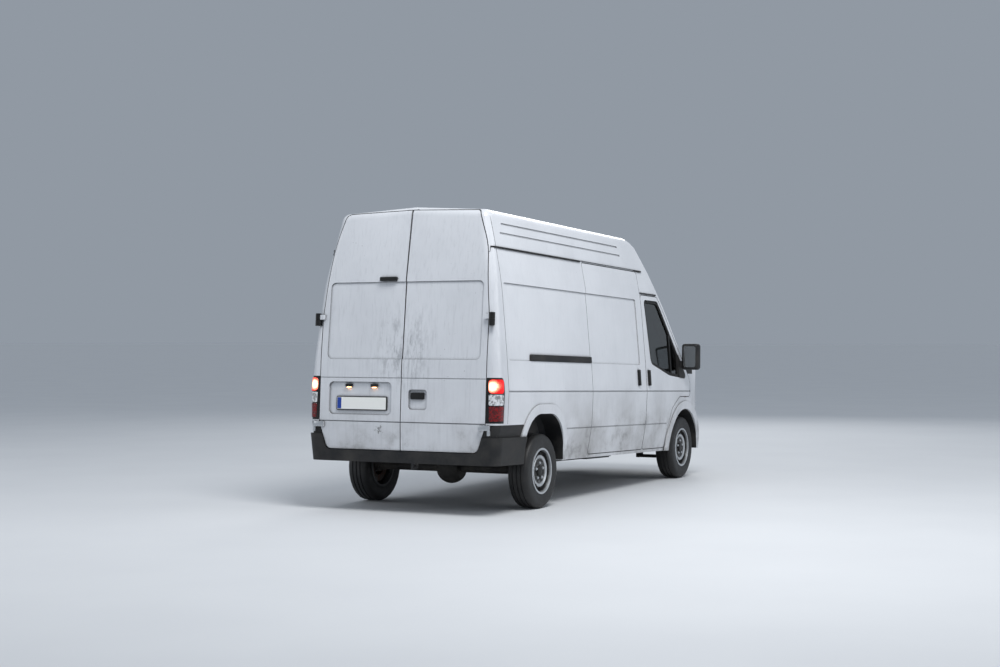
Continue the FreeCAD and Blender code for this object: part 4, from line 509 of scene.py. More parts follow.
def draped(bm, look, skin, outline, soft=0.0, lift=0.0005, thick=0.003, step=0.06, rim=None, corner_steps=5):
    """A sheet cut to an outline and laid on the van's skin; a rim width opens its middle."""
    start = set(bm.verts)
    place, inward = LOOKS[look]
    face = bm.faces.new([bm.verts.new((u, v, 0)) for u, v in outline])
    if soft:
        bmesh.ops.bevel(bm, geom=list(face.verts), offset=soft, offset_type="OFFSET", segments=corner_steps,
                        profile=0.5, affect="VERTICES", material=-1)
    if rim:
        face = [item for item in bm.faces if not start.intersection(item.verts)][0]
        bmesh.ops.inset_region(bm, faces=[face], thickness=rim, use_even_offset=True, use_boundary=True)
        bmesh.ops.delete(bm, geom=[face], context="FACES")
    fresh = [vert for vert in bm.verts if vert not in start]
    for axis in range(2):
        low, high = (pick(vert.co[axis] for vert in fresh) for pick in (min, max))
        count = int((high - low) / step)
        for number in range(1, count + 1):
            at, normal = Vector(), Vector()
            at[axis], normal[axis] = low + (high - low) * number / (count + 1), 1
            verts = [vert for vert in bm.verts if vert not in start]
            edges = {edge for vert in verts for edge in vert.link_edges}
            faces = {item for vert in verts for item in vert.link_faces}
            bmesh.ops.bisect_plane(bm, geom=[*verts, *edges, *faces], plane_co=at, plane_no=normal, dist=1e-6)
    verts = [vert for vert in bm.verts if vert not in start]
    for vert in verts:
        origin = place(vert.co.x, vert.co.y)
        hit, normal, index, distance = skin.ray_cast(origin, inward)
        if hit is None:
            hit, normal, index, distance = skin.find_nearest(origin + inward)
        vert.co = hit - inward * lift
    faces = list({item for vert in verts for item in vert.link_faces})
    for item in faces:
        item.normal_update()
        if item.normal.dot(inward) > 0:
            item.normal_flip()
    made = bmesh.ops.extrude_face_region(bm, geom=faces, use_keep_orig=True)["geom"]
    bmesh.ops.translate(bm, vec=-inward * thick,
                        verts=[item for item in made if isinstance(item, bmesh.types.BMVert)])


def slab(name, look, skin, outline, body, paint, **shape):
    """One draped sheet as a piece."""
    bm = bmesh.new()
    draped(bm, look, skin, outline, **shape)
    return make(name, bm, paint, body)


def oblong(u, v, half, tall):
    """The corners of an upright rectangle about a point, as seen from one side."""
    return [(u - half, v - tall), (u + half, v - tall), (u + half, v + tall), (u - half, v + tall)]


# %% [markdown]
# The number plate is a thin pressed aluminium sheet, 520 by 110 mm, in a black plastic holder. Pale film
# that throws light back covers it, with a blue band at its left end.

# %% Number plate
tree, shader, place = finish("reflective plate film", **{"IOR": 1.5, "Roughness": 0.35, "Coat Weight": 0.3})
grain, share, film = mottled(tree, place, (500.0, 1.0, 0.5), (0.0, 1.0), linear("#F1F1EC"), linear("#DCDDDA"))
feed(tree, shader, {"Base Color": film})
grained("blue plate band", "#1C3F94", 0.05, 600.0, 0.4)

PLATE_Y, PLATE_Z, PLATE_HALF, PLATE_TALL = 0.42, 0.965, 0.26, 0.11
# Piece, its middle across, half width and height, corner, lift and thickness, finish
PLATE_PIECES = (
    ("plate_holder", PLATE_Y, PLATE_HALF + 0.008, PLATE_TALL / 2 + 0.008, 0.010, 0.0005, 0.012,
     "smooth black ABS"),
    ("number_plate", PLATE_Y, PLATE_HALF, PLATE_TALL / 2, 0.006, 0.0128, 0.002, "reflective plate film"),
    ("plate_band", PLATE_Y + PLATE_HALF - 0.024, 0.021, PLATE_TALL / 2 - 0.004, 0.004, 0.0152, 0.0006,
     "blue plate band"),
)
for name, across, half, tall, soft, lift, thick, paint in PLATE_PIECES:
    slab(name, "rear", surface("rear_door_left"), oblong(across, PLATE_Z, half, tall), "rear_door_left",
         paint, soft=soft, lift=lift, thick=thick, step=0.3)

# %% [markdown]
# The camera comes early. It stands behind the van's right corner at eye height, with a long lens that
# flattens the van a little.

# %% Camera
CAMERA_AT = Vector((-15.641, -7.418, 1.588))
YAW, PITCH, LENS = math.radians(26.575), math.radians(0.167), 58.77
scene = bpy.context.scene
camera = bpy.data.objects.new("camera", bpy.data.cameras.new("camera"))
scene.collection.objects.link(camera)
camera.location = CAMERA_AT
ahead = Vector((math.cos(PITCH) * math.cos(YAW), math.cos(PITCH) * math.sin(YAW), math.sin(PITCH)))
camera.rotation_euler = ahead.to_track_quat("-Z", "Y").to_euler()
camera.data.lens = LENS
camera.data.sensor_width = 36
scene.camera = camera
print("lens:", LENS, "mm")

# %% [markdown]
# White paint needs a pale floor to reflect, and a faint mottle keeps it from looking like paper. It is so
# wide that its edge lies on the horizon.

# %% Floor
tree, shader, place = finish("pale studio floor", **{"Roughness": 0.75})
dapple, share, pale = mottled(tree, place, (0.7, 4.0, 0.5), (0.0, 1.0), linear("#D6D8DA"), linear("#CDCFD2"))
feed(tree, shader, {"Base Color": pale})
bm = bmesh.new()
bmesh.ops.create_grid(bm, x_segments=4, y_segments=4, size=400)
floor_mesh = bpy.data.meshes.new("studio_floor")
bm.to_mesh(floor_mesh)
bm.free()
floor_mesh.materials.append(FINISHES["pale studio floor"])
floor = bpy.data.objects.new("studio_floor", floor_mesh)
scene.collection.objects.link(floor)
print("floor:", tuple(floor.dimensions))

# %% [markdown]
# White and black parts both show their form only under large, soft lamps, as in a studio: a key above
# the tail, fills from both sides and one from the front. The sky that the paint mirrors is a pale blue,
# while the camera sees a darker backdrop, which sets off the white.

# %% Lamps and sky
# Name, place, aimed at, size in metres, watts
LAMPS = (
    ("key_lamp", (-5.5, -4.5, 9.5), (-0.5, 0, 1.0), 4.5, 780),
    ("side_lamp", (2, -13, 6), (0, 0, 1.2), 7, 200),
    ("fill_lamp", (-8, 11, 6), (0, 0, 1.2), 8, 220),
    ("front_lamp", (13, 3, 8), (0, 0, 1.2), 6, 420),
)
for name, at, aim, size, watts in LAMPS:
    lamp = bpy.data.objects.new(name, bpy.data.lights.new(name, "AREA"))
    lamp.data.shape, lamp.data.size, lamp.data.energy = "DISK", size, watts
    lamp.location = at
    lamp.rotation_euler = (Vector(aim) - Vector(at)).to_track_quat("-Z", "Y").to_euler()
    scene.collection.objects.link(lamp)

world = bpy.data.worlds.new("studio")
world.use_nodes = True
tree = world.node_tree
tree.nodes.clear()
ray = add(tree, "ShaderNodeLightPath").outputs
seen = add(tree, "ShaderNodeMath", (ray["Is Camera Ray"], ray["Is Transmission Ray"]), operation="MAXIMUM")
backdrop = add(tree, "ShaderNodeBackground", (linear("#9199A3"), 1.0))
sky = add(tree, "ShaderNodeBackground", (linear("#C6CFDA"), 0.72))
add(tree, "ShaderNodeOutputWorld", (add(tree, "ShaderNodeMixShader", (seen, sky, backdrop)),))
scene.world = world
scene.view_settings.view_transform = "Standard"
print("lamps:", len(LAMPS))

# %% [markdown]
# The tail lamps wrap round the rear corners, so their lenses are cut on a sheet that faces the corner
# at 45 degrees and is then laid on the housing by rays. From the top: tail and brake light, which is lit,
# reversing light behind clear plastic, and the dark red reflector.

# %% Tail lamps
LAMP_HEIGHT, BULB_Y = 1.135, 0.928
bulb = STAND @ Vector((0.02, 0, LAMP_HEIGHT))
tree, shader, place = finish("lit red lens", **{"IOR": 1.49, "Roughness": 0.15, "Emission Strength": 1.0})
along, across, up = add(tree, "ShaderNodeSeparateXYZ", (place,)).outputs
height = add(tree, "ShaderNodeMath", (up, bulb.z), operation="SUBTRACT")
side_on = add(tree, "ShaderNodeMath", (across,), operation="ABSOLUTE")
side_on = add(tree, "ShaderNodeMath", (side_on, BULB_Y), operation="SUBTRACT")
reach = add(tree, "ShaderNodeCombineXYZ", (height, side_on))
reach = add(tree, "ShaderNodeVectorMath", (reach,), operation="LENGTH")
facets = add(tree, "ShaderNodeTexVoronoi", {"Vector": place, "Scale": 90.0})
reach = add(tree, "ShaderNodeMath", (facets, 0.012, reach), operation="MULTIPLY_ADD")
glow = add(tree, "ShaderNodeMapRange", (reach, 0.012, 0.075, 1.0, 0.0), **EASED)
red, glare = linear("#C40E12"), linear("#FFC9A0")
colour = add(tree, "ShaderNodeMix", {"Factor": glow, UNDER: red, OVER: glare}, **COLOURS)
power = add(tree, "ShaderNodeMapRange", (glow, 0.0, 1.0, 1.1, 5.5))
feed(tree, shader, {"Base Color": colour, "Emission Color": colour, "Emission Strength": power})
for side, sign in SIDES:
    inward = Vector((1, -sign, 0)).normalized()
    along = Vector((1, sign, 0)).normalized()
    LOOKS["corner_" + side] = (lambda u, v, sign=sign, inward=inward, along=along:
                               Vector((0.03, sign * 0.95, v)) + along * u - inward, inward)
# Lens, finish, middle above the road, half height, half width and corner
LENSES = (
    ("tail_light", "lit red lens", LAMP_HEIGHT, 0.062, 0.072, 0.028),
    ("reversing_light", "frosted clear lens", 1.015, 0.048, 0.072, 0.010),
    ("rear_reflector", "red acrylic lens", 0.893, 0.066, 0.072, 0.010),
)
housings = surface("tail_lamps")
for side, sign in SIDES:
    for lens, paint, middle, tall, half, soft in LENSES:
        slab(f"{lens}_{side}", f"corner_{side}", housings, oblong(0.004, middle, half, tall), "van_body",
             paint, soft=soft, thick=0.006, step=0.02)

# %% [markdown]
# A rubber strip hides the seam between steel side and plastic roof cap. It is 14 mm high and runs from
# the rear corner to the cab. A shorter strip above each cab door sheds the rain.

# %% Drip strips
# Strip, the way it is looked at, middle along and up, half length and height, corner, thickness, step
STRIPS = (
    ("drip_strip", "", 1.925, 2.386, 1.765, 0.007, 0.003, 0.011, 0.12),
    ("drip_strip_rear", "corner_", -0.009, 2.386, 0.047, 0.006, 0.0, 0.004, 0.02),
    ("rain_strip", "", 3.79, 2.147, 0.235, 0.006, 0.003, 0.009, 0.10),
)
for side, sign in SIDES:
    wall = surface(f"body_side_{side}", "roof", f"front_door_{side}", "sliding_door")
    for name, look, along, up, half, tall, soft, thick, step in STRIPS:
        slab(f"{name}_{side}", look + side, wall, oblong(along, up, half, tall), "van_body",
             "black rubber seal", soft=soft, thick=thick, step=step, corner_steps=2)

# %% [markdown]
# The cab windows are held in black rubber. The glass lies 16 mm inside the door's skin, so a rim of
# rubber laid on the glass fills that step. A bar splits the window where the pane is fixed, near the
# mirror.

# %% Window rubbers and bars
WINDOW = [(3.710, 1.386), (3.641, 2.074), (4.046, 2.074), (4.558, 1.496), (4.558, 1.250), (4.26, 1.270)]
for side, sign in SIDES:
    pane = surface(f"door_glass_{side}")
    body = f"front_door_{side}"
    slab(f"window_rubber_{side}", side, pane, WINDOW, body, "black rubber seal", soft=0.035, thick=0.013,
         step=0.15, rim=0.028)
    slab(f"window_bar_{side}", side, pane, oblong(4.33, 1.50, 0.012, 0.235), body, "smooth black ABS",
         thick=0.012, step=0.1)

# %% [markdown]
# The windscreen is glued in, and a black ceramic band baked on its edge hides the glue. Two wipers rest
# at its foot: a rubber blade in a steel spine, and an arm that runs back to its spindle in the cowl.

# %% Windscreen band and wipers
screen = surface("windscreen")
slab("screen_band", "front", screen, [(-0.785, 1.462), (0.785, 1.462), (0.682, 2.072), (-0.682, 2.072)],
     "van_body", "smooth black ABS", soft=0.06, thick=0.0015, step=0.08, rim=0.05)


def strip_between(start, end, half):
    """The corners of a thin bar between two points, as seen from one side."""
    start, end = Vector(start), Vector(end)
    out = (end - start).orthogonal().normalized() * half
    return [tuple(start - out), tuple(end - out), tuple(end + out), tuple(start + out)]


# Wiper, blade start and end, arm start and end, all across and up as seen from the front
WIPERS = (("left", (0.12, 1.520), (0.70, 1.552), (0.66, 1.470), (0.40, 1.540)),
          ("right", (-0.62, 1.535), (-0.06, 1.512), (-0.06, 1.462), (-0.34, 1.528)))
for name, blade_start, blade_end, arm_start, arm_end in WIPERS:
    slab(f"wiper_blade_{name}", "front", screen, strip_between(blade_start, blade_end, 0.007), "van_body",
         "black rubber seal", lift=0.003, thick=0.014, step=0.06)
    slab(f"wiper_arm_{name}", "front", screen, strip_between(arm_start, arm_end, 0.009), "van_body",
         "smooth black ABS", soft=0.004, lift=0.018, thick=0.008, step=0.06, corner_steps=2)

# %% [markdown]
# Pull handles are black mouldings over steel. Each is a block with soft edges, a little larger than the
# steel under it. The sides lean in as they rise, so the handles lean with them. A mirror's glass is a
# sheet like the others, laid on the back of its housing.

# %% Handles and mirror glass
HANDLE_LEAN = math.radians(4.4)
GRIP_HALF, GRIP_BACK, GRIP_FACE, GRIP_FOOT, GRIP_TOP = 0.021, 0.966, 1.0035, 1.150, 1.320
GRIP_MIDDLE, GRIP_HEIGHT = 0.985, 1.235


def block(bm, low, high, soft=0.004, steps=2):
    """A box between two corners with its edges rounded."""
    low, high = Vector(low), Vector(high)
    made = bmesh.ops.create_cube(bm, size=1)["verts"]
    bmesh.ops.scale(bm, vec=high - low, verts=made)
    bmesh.ops.translate(bm, vec=(low + high) / 2, verts=made)
    if soft:
        edges = list({edge for vert in made for edge in vert.link_edges})
        made = bmesh.ops.bevel(bm, geom=edges, offset=soft, offset_type="OFFSET", segments=steps, profile=0.5,
                               affect="EDGES", material=-1)["verts"]
    return made


def handle_cover(name, x, sign, body):
    """A black grip over a pull handle, leaned with the side that it stands on."""
    bm = bmesh.new()
    verts = block(bm, (x - GRIP_HALF, GRIP_BACK, GRIP_FOOT), (x + GRIP_HALF, GRIP_FACE, GRIP_TOP), 0.008, 3)
    bmesh.ops.rotate(bm, cent=(x, GRIP_MIDDLE, GRIP_HEIGHT), matrix=Matrix.Rotation(HANDLE_LEAN, 3, "X"),
                     verts=verts)
    if sign < 0:
        bmesh.ops.scale(bm, vec=(1, -1, 1), verts=verts)
    make(name, bm, "smooth black ABS", body)


# Handle, place along the van, side and body
HANDLES = (("left", 3.620, 1, "front_door_left"), ("right", 3.620, -1, "front_door_right"),
           ("sliding", 3.328, -1, "van_body"))
for name, along, sign, body in HANDLES:
    handle_cover(f"handle_cover_{name}", along, sign, body)
for side, sign in SIDES:
    slab(f"mirror_glass_{side}", "rear", surface(f"mirror_{side}"), oblong(sign * 1.095, 1.480, 0.072, 0.118),
         f"front_door_{side}", "mirror glass", soft=0.025, thick=0.003, step=0.2)

# %% [markdown]
# Knuckles, bowls, tyres and nuts are all round, so they are turned as on a lathe: a half section is spun
# about an axis. One helper spins it, and one makes a piece of it.

# %% Turned parts


def lathe(bm, profile, centre, axis="y", steps=32):
    """A ring turned about an axis from its half section, given as (along the axis, radius)."""
    frame_of = {"x": ((1, 0, 0), (0, 0, 1)), "y": ((0, 1, 0), (0, 0, 1)), "z": ((0, 0, 1), (1, 0, 0))}
    along, out = (Vector(part) for part in frame_of[axis])
    centre = Vector(centre)
    verts = [bm.verts.new(centre + along * position + out * radius) for position, radius in profile]
    edges = [bm.edges.new((first, second)) for first, second in zip(verts, verts[1:])]
    bmesh.ops.spin(bm, geom=verts + edges, cent=centre, axis=along, angle=2 * math.pi, steps=steps,
                   use_merge=True)
    bmesh.ops.remove_doubles(bm, verts=bm.verts, dist=1e-5)


def turned(name, paint, body, profile, centre, axis="y", steps=32, **settings):
    """One lathed ring or cap as a piece."""
    bm = bmesh.new()
    lathe(bm, profile, centre, axis, steps)
    return make(name, bm, paint, body, **settings)


# %% [markdown]
# Each rear hinge is two knuckles on one pin: the lower belongs to the body and the upper to the door.
# Above, black caps hide both. Below, the hinge is zinc plate, so its knuckles and the leaf on the door
# get a thin zinc skin. The hinge line leans forward with the doors, and so do these pieces.

# %% Rear hinges
HINGE_X, HINGE_Y, HINGE_FOOT, HINGE_LEAN, HINGE_MIDDLE = -0.036, 0.906, 0.700, math.radians(2.5), 0.045
SPLIT, EDGE, LEAF_BACK = 0.0008, 0.002, -0.0035
# Row, its height above the lower hinge, half its length, knuckle radius, how far the leaf reaches, finish
HINGES = (("low", 0.0, 0.046, 0.0134, 0.0975, "zinc-plated steel"),
          ("high", 0.990, 0.058, 0.028, 0.0, "smooth black ABS"))
for side, sign in SIDES:
    lean = Matrix.Translation((HINGE_X, sign * HINGE_Y, HINGE_FOOT)) @ Matrix.Rotation(HINGE_LEAN, 4, "Y")
    for row, foot, half, radius, reach, paint in HINGES:
        middle = foot + HINGE_MIDDLE
        for part, body, low in (("body", "van_body", middle - half),
                                ("door", f"rear_door_{side}", middle + SPLIT)):
            bm = bmesh.new()
            high = low + half - SPLIT
            lathe(bm, [(low, 0.0), (low, radius - EDGE), (low + EDGE, radius), (high - EDGE, radius),
                       (high, radius - EDGE), (high, 0.0)], (0, 0, 0), axis="z", steps=24)
            if reach and part == "door":
                block(bm, (-radius, -reach, low), (LEAF_BACK, 0.0, high), soft=EDGE, steps=2)
            bmesh.ops.scale(bm, vec=(1, sign, 1), verts=bm.verts)
            bmesh.ops.transform(bm, matrix=lean, verts=bm.verts)
            make(f"hinge_{part}_{row}_{side}", bm, paint, body, "black_plastic")

# %% [markdown]
# The left rear door carries two small lamps over the plate and the high stop lamp, and the right one the
# handle. The lamps' light is warm, and dims quickly, so the lenses are small and only softly lit.

# %% Plate lamps, high stop lamp and rear handle
# Piece, middle across and up, half width and height, corner and its steps, lift, thickness, finish
REAR_TRIM = (
    ("plate_lamp_0", 0.289, 1.128, 0.034, 0.013, 0.006, 3, 0.0005, 0.020, "smooth black ABS"),
    ("plate_lamp_lens_0", 0.289, 1.112, 0.020, 0.005, 0.002, 2, 0.004, 0.012, "lit white lens"),
    ("plate_lamp_1", 0.559, 1.128, 0.034, 0.013, 0.006, 3, 0.0005, 0.020, "smooth black ABS"),
    ("plate_lamp_lens_1", 0.559, 1.112, 0.020, 0.005, 0.002, 2, 0.004, 0.012, "lit white lens"),
    ("high_stop_lamp", 0.18, 2.106, 0.088, 0.018, 0.008, 5, 0.0005, 0.022, "smooth black ABS"),
    ("rear_handle", -0.165, 1.040, 0.068, 0.030, 0.010, 5, 0.0005, 0.016, "smooth black ABS"),
)
for name, across, up, half, tall, soft, steps, lift, thick, paint in REAR_TRIM:
    door = "rear_door_left" if across > 0 else "rear_door_right"
    slab(name, "rear", surface(door), oblong(across, up, half, tall), door, paint, soft=soft,
         corner_steps=steps, lift=lift, thick=thick, step=0.2)

# %% [markdown]
# Head lamps are bright bowls behind one clear lens that follows the wing. We turn each bowl from a
# profile, set it in the dark housing, and lay the lens over both.

# %% Head lamps
BOWL_HEIGHT = 0.945
place, inward = LOOKS["front"]
lamp_skin = surface("headlamps")
LAMP_LENS = [(0.640, 0.868), (0.668, 1.000), (0.860, 1.038), (0.930, 1.010), (0.930, 0.850)]
for side, sign in SIDES:
    outline = [(sign * across, up) for across, up in LAMP_LENS]
    slab(f"headlamp_lens_{side}", "front", lamp_skin, outline, "van_body", "clear acrylic lens", soft=0.02,
         lift=0.012, thick=0.003, step=0.03)
    for bowl, across, radius in (("dip", 0.715, 0.055), ("main", 0.825, 0.048)):
        hit, normal, index, distance = lamp_skin.ray_cast(place(sign * across, BOWL_HEIGHT), inward)
        profile = [(0.0, 0.004), (0.002, radius * 0.55), (0.009, radius * 0.92), (0.010, radius),
                   (-0.01, radius), (-0.01, 0.0), (0.0, 0.0)]
        turned(f"headlamp_{bowl}_{side}", "lamp reflector", "van_body", profile, hit, "x", 28)
    slab(f"indicator_{side}", "front", lamp_skin, oblong(sign * 0.905, 0.935, 0.018, 0.055), "van_body",
         "amber acrylic lens", soft=0.008, thick=0.006, step=0.03)

# %% [markdown]
# A tyre is a ring turned from its half section: bead, sidewall, shoulder, and a tread with three grooves
# that lead the rain away. Four tyres share one profile, and each stands for the plain CAD ring.

# %% Tyres
TREAD, SIDEWALL, BEAD, HALF_WIDTH, GROOVE = 0.3495, 0.29, 0.2065, 0.102, 0.008
half_section = [(0.086, BEAD), (0.094, 0.222), (HALF_WIDTH - 0.003, 0.245), (HALF_WIDTH, SIDEWALL),
                (HALF_WIDTH - 0.002, 0.318), (0.091, 0.336), (0.075, 0.3465), (0.048, 0.3485),
                (0.046, TREAD - GROOVE), (0.037, TREAD - GROOVE), (0.035, TREAD), (0.006, TREAD),
                (0.005, TREAD - GROOVE)]
tyre_section = half_section + [(-across, radius) for across, radius in reversed(half_section)]
for (end, side), centre in WHEELS.items():
    tyre = turned(f"tread_tyre_{end}_{side}", f"wet tyre rubber {end} {side}", f"wheel_{end}_{side}",
                  tyre_section + tyre_section[:1], centre, steps=28, level=False, crease=50)
    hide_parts(f"tyre_{end}_{side}")

# %% [markdown]
# Five nuts hold each wheel, a cap closes its bore, a rubber valve stands at its rim, and the brake drum
# shows dark through the hand holes. They are all turned from their half sections.

# %% Wheel nuts, caps, drums and valves
DISC_FACE, NUT_CIRCLE, NUTS = 0.0625, 0.075, 5
NUT = [(0.0, 0.0), (0.0, 0.0145), (0.013, 0.0145), (0.016, 0.012), (0.022, 0.006), (0.022, 0.0)]
# Part, finish, its own slot, place along the van and out of the wheel, steps, and half section
WHEEL_PARTS = (
    ("wheel_cap", "smooth black ABS", None, 0, DISC_FACE, 28,
     [(0.0, 0.0), (0.0, 0.046), (0.004, 0.048), (0.014, 0.045), (0.019, 0.037), (0.020, 0.0)]),
    ("brake_drum", "rolled spring steel", None, 0, 0, 40,
     [(-0.045, 0.10), (-0.045, 0.158), (-0.040, 0.164), (0.018, 0.164), (0.022, 0.160), (0.022, 0.10),
      (-0.045, 0.10)]),
    ("tyre_valve", "black rubber seal", "tyre_rubber", 0.178, 0.052, 10,
     [(0.0, 0.0), (0.0, 0.0045), (0.024, 0.0045), (0.026, 0.003), (0.034, 0.003), (0.034, 0.0)]),
)
for (end, side), centre in WHEELS.items():
    out = 1 if side == "left" else -1
    bm = bmesh.new()
    for number in range(NUTS):
        turn = 2 * math.pi * number / NUTS
        at = centre + Vector((NUT_CIRCLE * math.sin(turn), out * DISC_FACE, NUT_CIRCLE * math.cos(turn)))
        lathe(bm, [(out * reach, radius) for reach, radius in NUT], at, steps=6)
    make(f"wheel_nuts_{end}_{side}", bm, "zinc-plated steel", f"wheel_{end}_{side}", level=False)
    for part, paint, slot, along, outward, steps, half in WHEEL_PARTS:
        at = centre + Vector((along, out * outward, 0))
        turned(f"{part}_{end}_{side}", paint, f"wheel_{end}_{side}",
               [(out * reach, radius) for reach, radius in half], at, steps=steps, slot=slot, level=False)

# %% [markdown]
# Inside each arch a black liner catches the stones. It follows the arch's own outline, set in by 5 mm,
# and starts a finger's breadth inside the painted lip, so that only the lip stays white.

# %% Wheel arch liners


def carried(bm, outline, low, high):
    """A flat outline seen from the side, carried across the van from low to high."""
    face = bm.faces.new([bm.verts.new((along, low, up)) for along, up in outline])
    made = bmesh.ops.extrude_face_region(bm, geom=[face], use_keep_orig=True)["geom"]
    verts = [item for item in made if isinstance(item, bmesh.types.BMVert)]
    bmesh.ops.translate(bm, vec=(0, high - low, 0), verts=verts)


def arch_line(centre, half, top, radius, foot, steps=9):
    """An arch seen from the side: up, round two corners and down again."""
    line = [(centre - half, foot)]
    for corner, start in ((-1, math.pi), (1, math.pi / 2)):
        middle = (centre + corner * (half - radius), top - radius)
        for step in range(steps + 1):
            turn = start - step * math.pi / 2 / steps
            line.append((middle[0] + radius * math.cos(turn), middle[1] + radius * math.sin(turn)))
    return line + [(centre + half, foot)]


rear_hub = STAND.inverted() @ WHEELS["rear", "right"]
front_hub = STAND.inverted() @ WHEELS["front", "right"]
# Arch, its middle, half width, top, corner radius and foot
ARCHES = (("rear", rear_hub.x, 0.432, 0.885, 0.330, 0.445),
          ("front", front_hub.x, 0.437, front_hub.z + 0.437, 0.436, 0.435))
LINER = 0.005
for name, middle, half, top, radius, foot in ARCHES:
    for side, sign in SIDES:
        outside = arch_line(middle, half - 0.001, top - 0.001, radius, foot)
        inside = arch_line(middle, half - LINER, top - LINER, radius - LINER, foot)
        bm = bmesh.new()
        low, high = sorted((sign * 0.972, sign * 0.80))
        carried(bm, outside + inside[::-1], low, high)
        make(f"arch_liner_{name}_{side}", bm, "moulded black polypropylene", "van_body")

# %% [markdown]
# A seat is made as its upholsterer makes it, of stuffed panels. Each is a cube cut into a grid, its edges
# drawn in to a radius and its face puffed by a cosine, which is how foam swells between its seams.

# %% One stuffed panel


def puffed(bm, size_of, at, lean, puff, soft):
    """One stuffed panel, puffed on its front face, leaned about the cross axis and put in place."""
    start = set(bm.verts)
    cube = bmesh.ops.create_cube(bm, size=1)["verts"]
    edges = list({edge for vert in cube for edge in vert.link_edges})
    bmesh.ops.subdivide_edges(bm, edges=edges, cuts=7, use_grid_fill=True)
    verts = [vert for vert in bm.verts if vert not in start]
    half = [part / 2 for part in size_of]
    for vert in verts:
        spot = Vector([vert.co[axis] * size_of[axis] for axis in range(3)])
        core = Vector([max(soft - half[axis], min(half[axis] - soft, spot[axis])) for axis in range(3)])
        spot = core + (spot - core).normalized() * soft if (spot - core).length > 1e-6 else spot
        if spot.z > 0:
            swell = [math.cos(math.pi / 2 * spot[axis] / half[axis]) for axis in range(2)]
            spot.z += puff * swell[0] * swell[1]
        vert.co = spot
    bmesh.ops.rotate(bm, cent=(0, 0, 0), matrix=Matrix.Rotation(lean, 3, "Y"), verts=verts)
    bmesh.ops.translate(bm, vec=at, verts=verts)


# %% [markdown]
# The cab has a driver's seat and a bench for two. Each place has a firm middle panel between two
# bolsters. The headrests stand on steel posts, and a moulded pedestal carries each cushion.

# %% Seats
SEAT_X, SEAT_Z, CAB_FLOOR, BOLSTER, SEAM = 3.87, 0.945, 0.642, 0.085, 0.004
CUSHION_LEAN, BACK_LEAN = math.radians(-4), math.radians(76)
# Seat, middle of each place across the van, width of a place
SEAT_PLACES = (("driver_seat", (0.42,), 0.47), ("bench_seat", (-0.085, -0.485), 0.395))
for name, places, wide in SEAT_PLACES:
    bm = bmesh.new()
    for y in places:
        for across, width, extra in ((y, wide - 2 * BOLSTER, 0.0),
                                     (y - wide / 2 + BOLSTER / 2, BOLSTER, 0.022),
                                     (y + wide / 2 - BOLSTER / 2, BOLSTER, 0.022)):
            puffed(bm, (0.47, width - SEAM, 0.12 + extra),
                   Vector((SEAT_X + 0.02, across, SEAT_Z + extra / 2)), CUSHION_LEAN, 0.018, 0.02)
            puffed(bm, (0.60, width - SEAM, 0.10 + extra),
                   Vector((SEAT_X - 0.245 + extra / 2, across, SEAT_Z + 0.345)), BACK_LEAN, 0.016, 0.02)
        puffed(bm, (0.17, 0.25, 0.085), Vector((SEAT_X - 0.318, y, SEAT_Z + 0.735)), BACK_LEAN, 0.02, 0.022)
    cushions = make(name, bm, "woven seat cloth", "van_body", crease=60)
    if name == "driver_seat":
        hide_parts("seats")
    bm = bmesh.new()
    low_y, high_y = min(places) - wide / 2, max(places) + wide / 2
    block(bm, (SEAT_X - 0.16, low_y + 0.03, CAB_FLOOR), (SEAT_X + 0.19, high_y - 0.03, SEAT_Z - 0.075),
          soft=0.015, steps=2)
    block(bm, (SEAT_X - 0.20, low_y + 0.005, SEAT_Z - 0.10), (SEAT_X + 0.22, high_y - 0.005, SEAT_Z - 0.055),
          soft=0.012, steps=2)
    make(name + "_pedestal", bm, "grey cab plastic", "van_body")
    bm = bmesh.new()
    for y in places:
        for shift in (-0.05, 0.05):
            lathe(bm, [(0.0, 0.0), (0.0, 0.006), (0.12, 0.006), (0.12, 0.0)],
                  (SEAT_X - 0.312, y + shift, SEAT_Z + 0.60), axis="z", steps=10)
    make(name + "_posts", bm, "zinc-plated steel", "van_body")

# %% [markdown]
# The dashboard gets what a hand or foot reaches for: air vents, a radio, a glove box lid, a hood over the
# dials, a gear lever on its console and three pedals.

# %% Dashboard and pedals
dash = surface("dashboard")
# Piece, middle across and up, half width and height, thickness, finish
DASH_PIECES = (
    ("vent_driver", 0.79, 1.185, 0.060, 0.030, 0.010, "smooth black ABS"),
    ("vent_middle", 0.075, 1.190, 0.110, 0.026, 0.010, "smooth black ABS"),
    ("vent_passenger", -0.79, 1.185, 0.060, 0.030, 0.010, "smooth black ABS"),
    ("radio", 0.075, 1.130, 0.090, 0.024, 0.007, "smooth black ABS"),
    ("glove_box_lid", -0.44, 1.165, 0.210, 0.050, 0.006, "grey cab plastic"),
)
for name, across, up, half, tall, thick, paint in DASH_PIECES:
    slab(name, "rear", dash, oblong(across, up, half, tall), "van_body", paint, soft=0.012, thick=thick,
         step=0.08, corner_steps=3)
# Hood over the dials, then console: low corner, high corner, edge radius and its steps
HOODS = (((4.285, 0.255, 1.225), (4.440, 0.585, 1.325), 0.03, 4),
         ((4.205, 0.010, 0.960), (4.420, 0.140, 1.100), 0.02, 3))
bm = bmesh.new()
for low, high, soft, steps in HOODS:
    block(bm, low, high, soft, steps)
make("binnacle_and_console", bm, "grey cab plastic", "van_body")
GEAR_LEVER = [(0.0, 0.0), (0.0, 0.030), (0.012, 0.026), (0.040, 0.009), (0.105, 0.007), (0.110, 0.016),
              (0.122, 0.024), (0.140, 0.026), (0.154, 0.020), (0.160, 0.0)]
turned("gear_lever", "smooth black ABS", "van_body", GEAR_LEVER, (4.255, 0.075, 1.095), "z", 20)
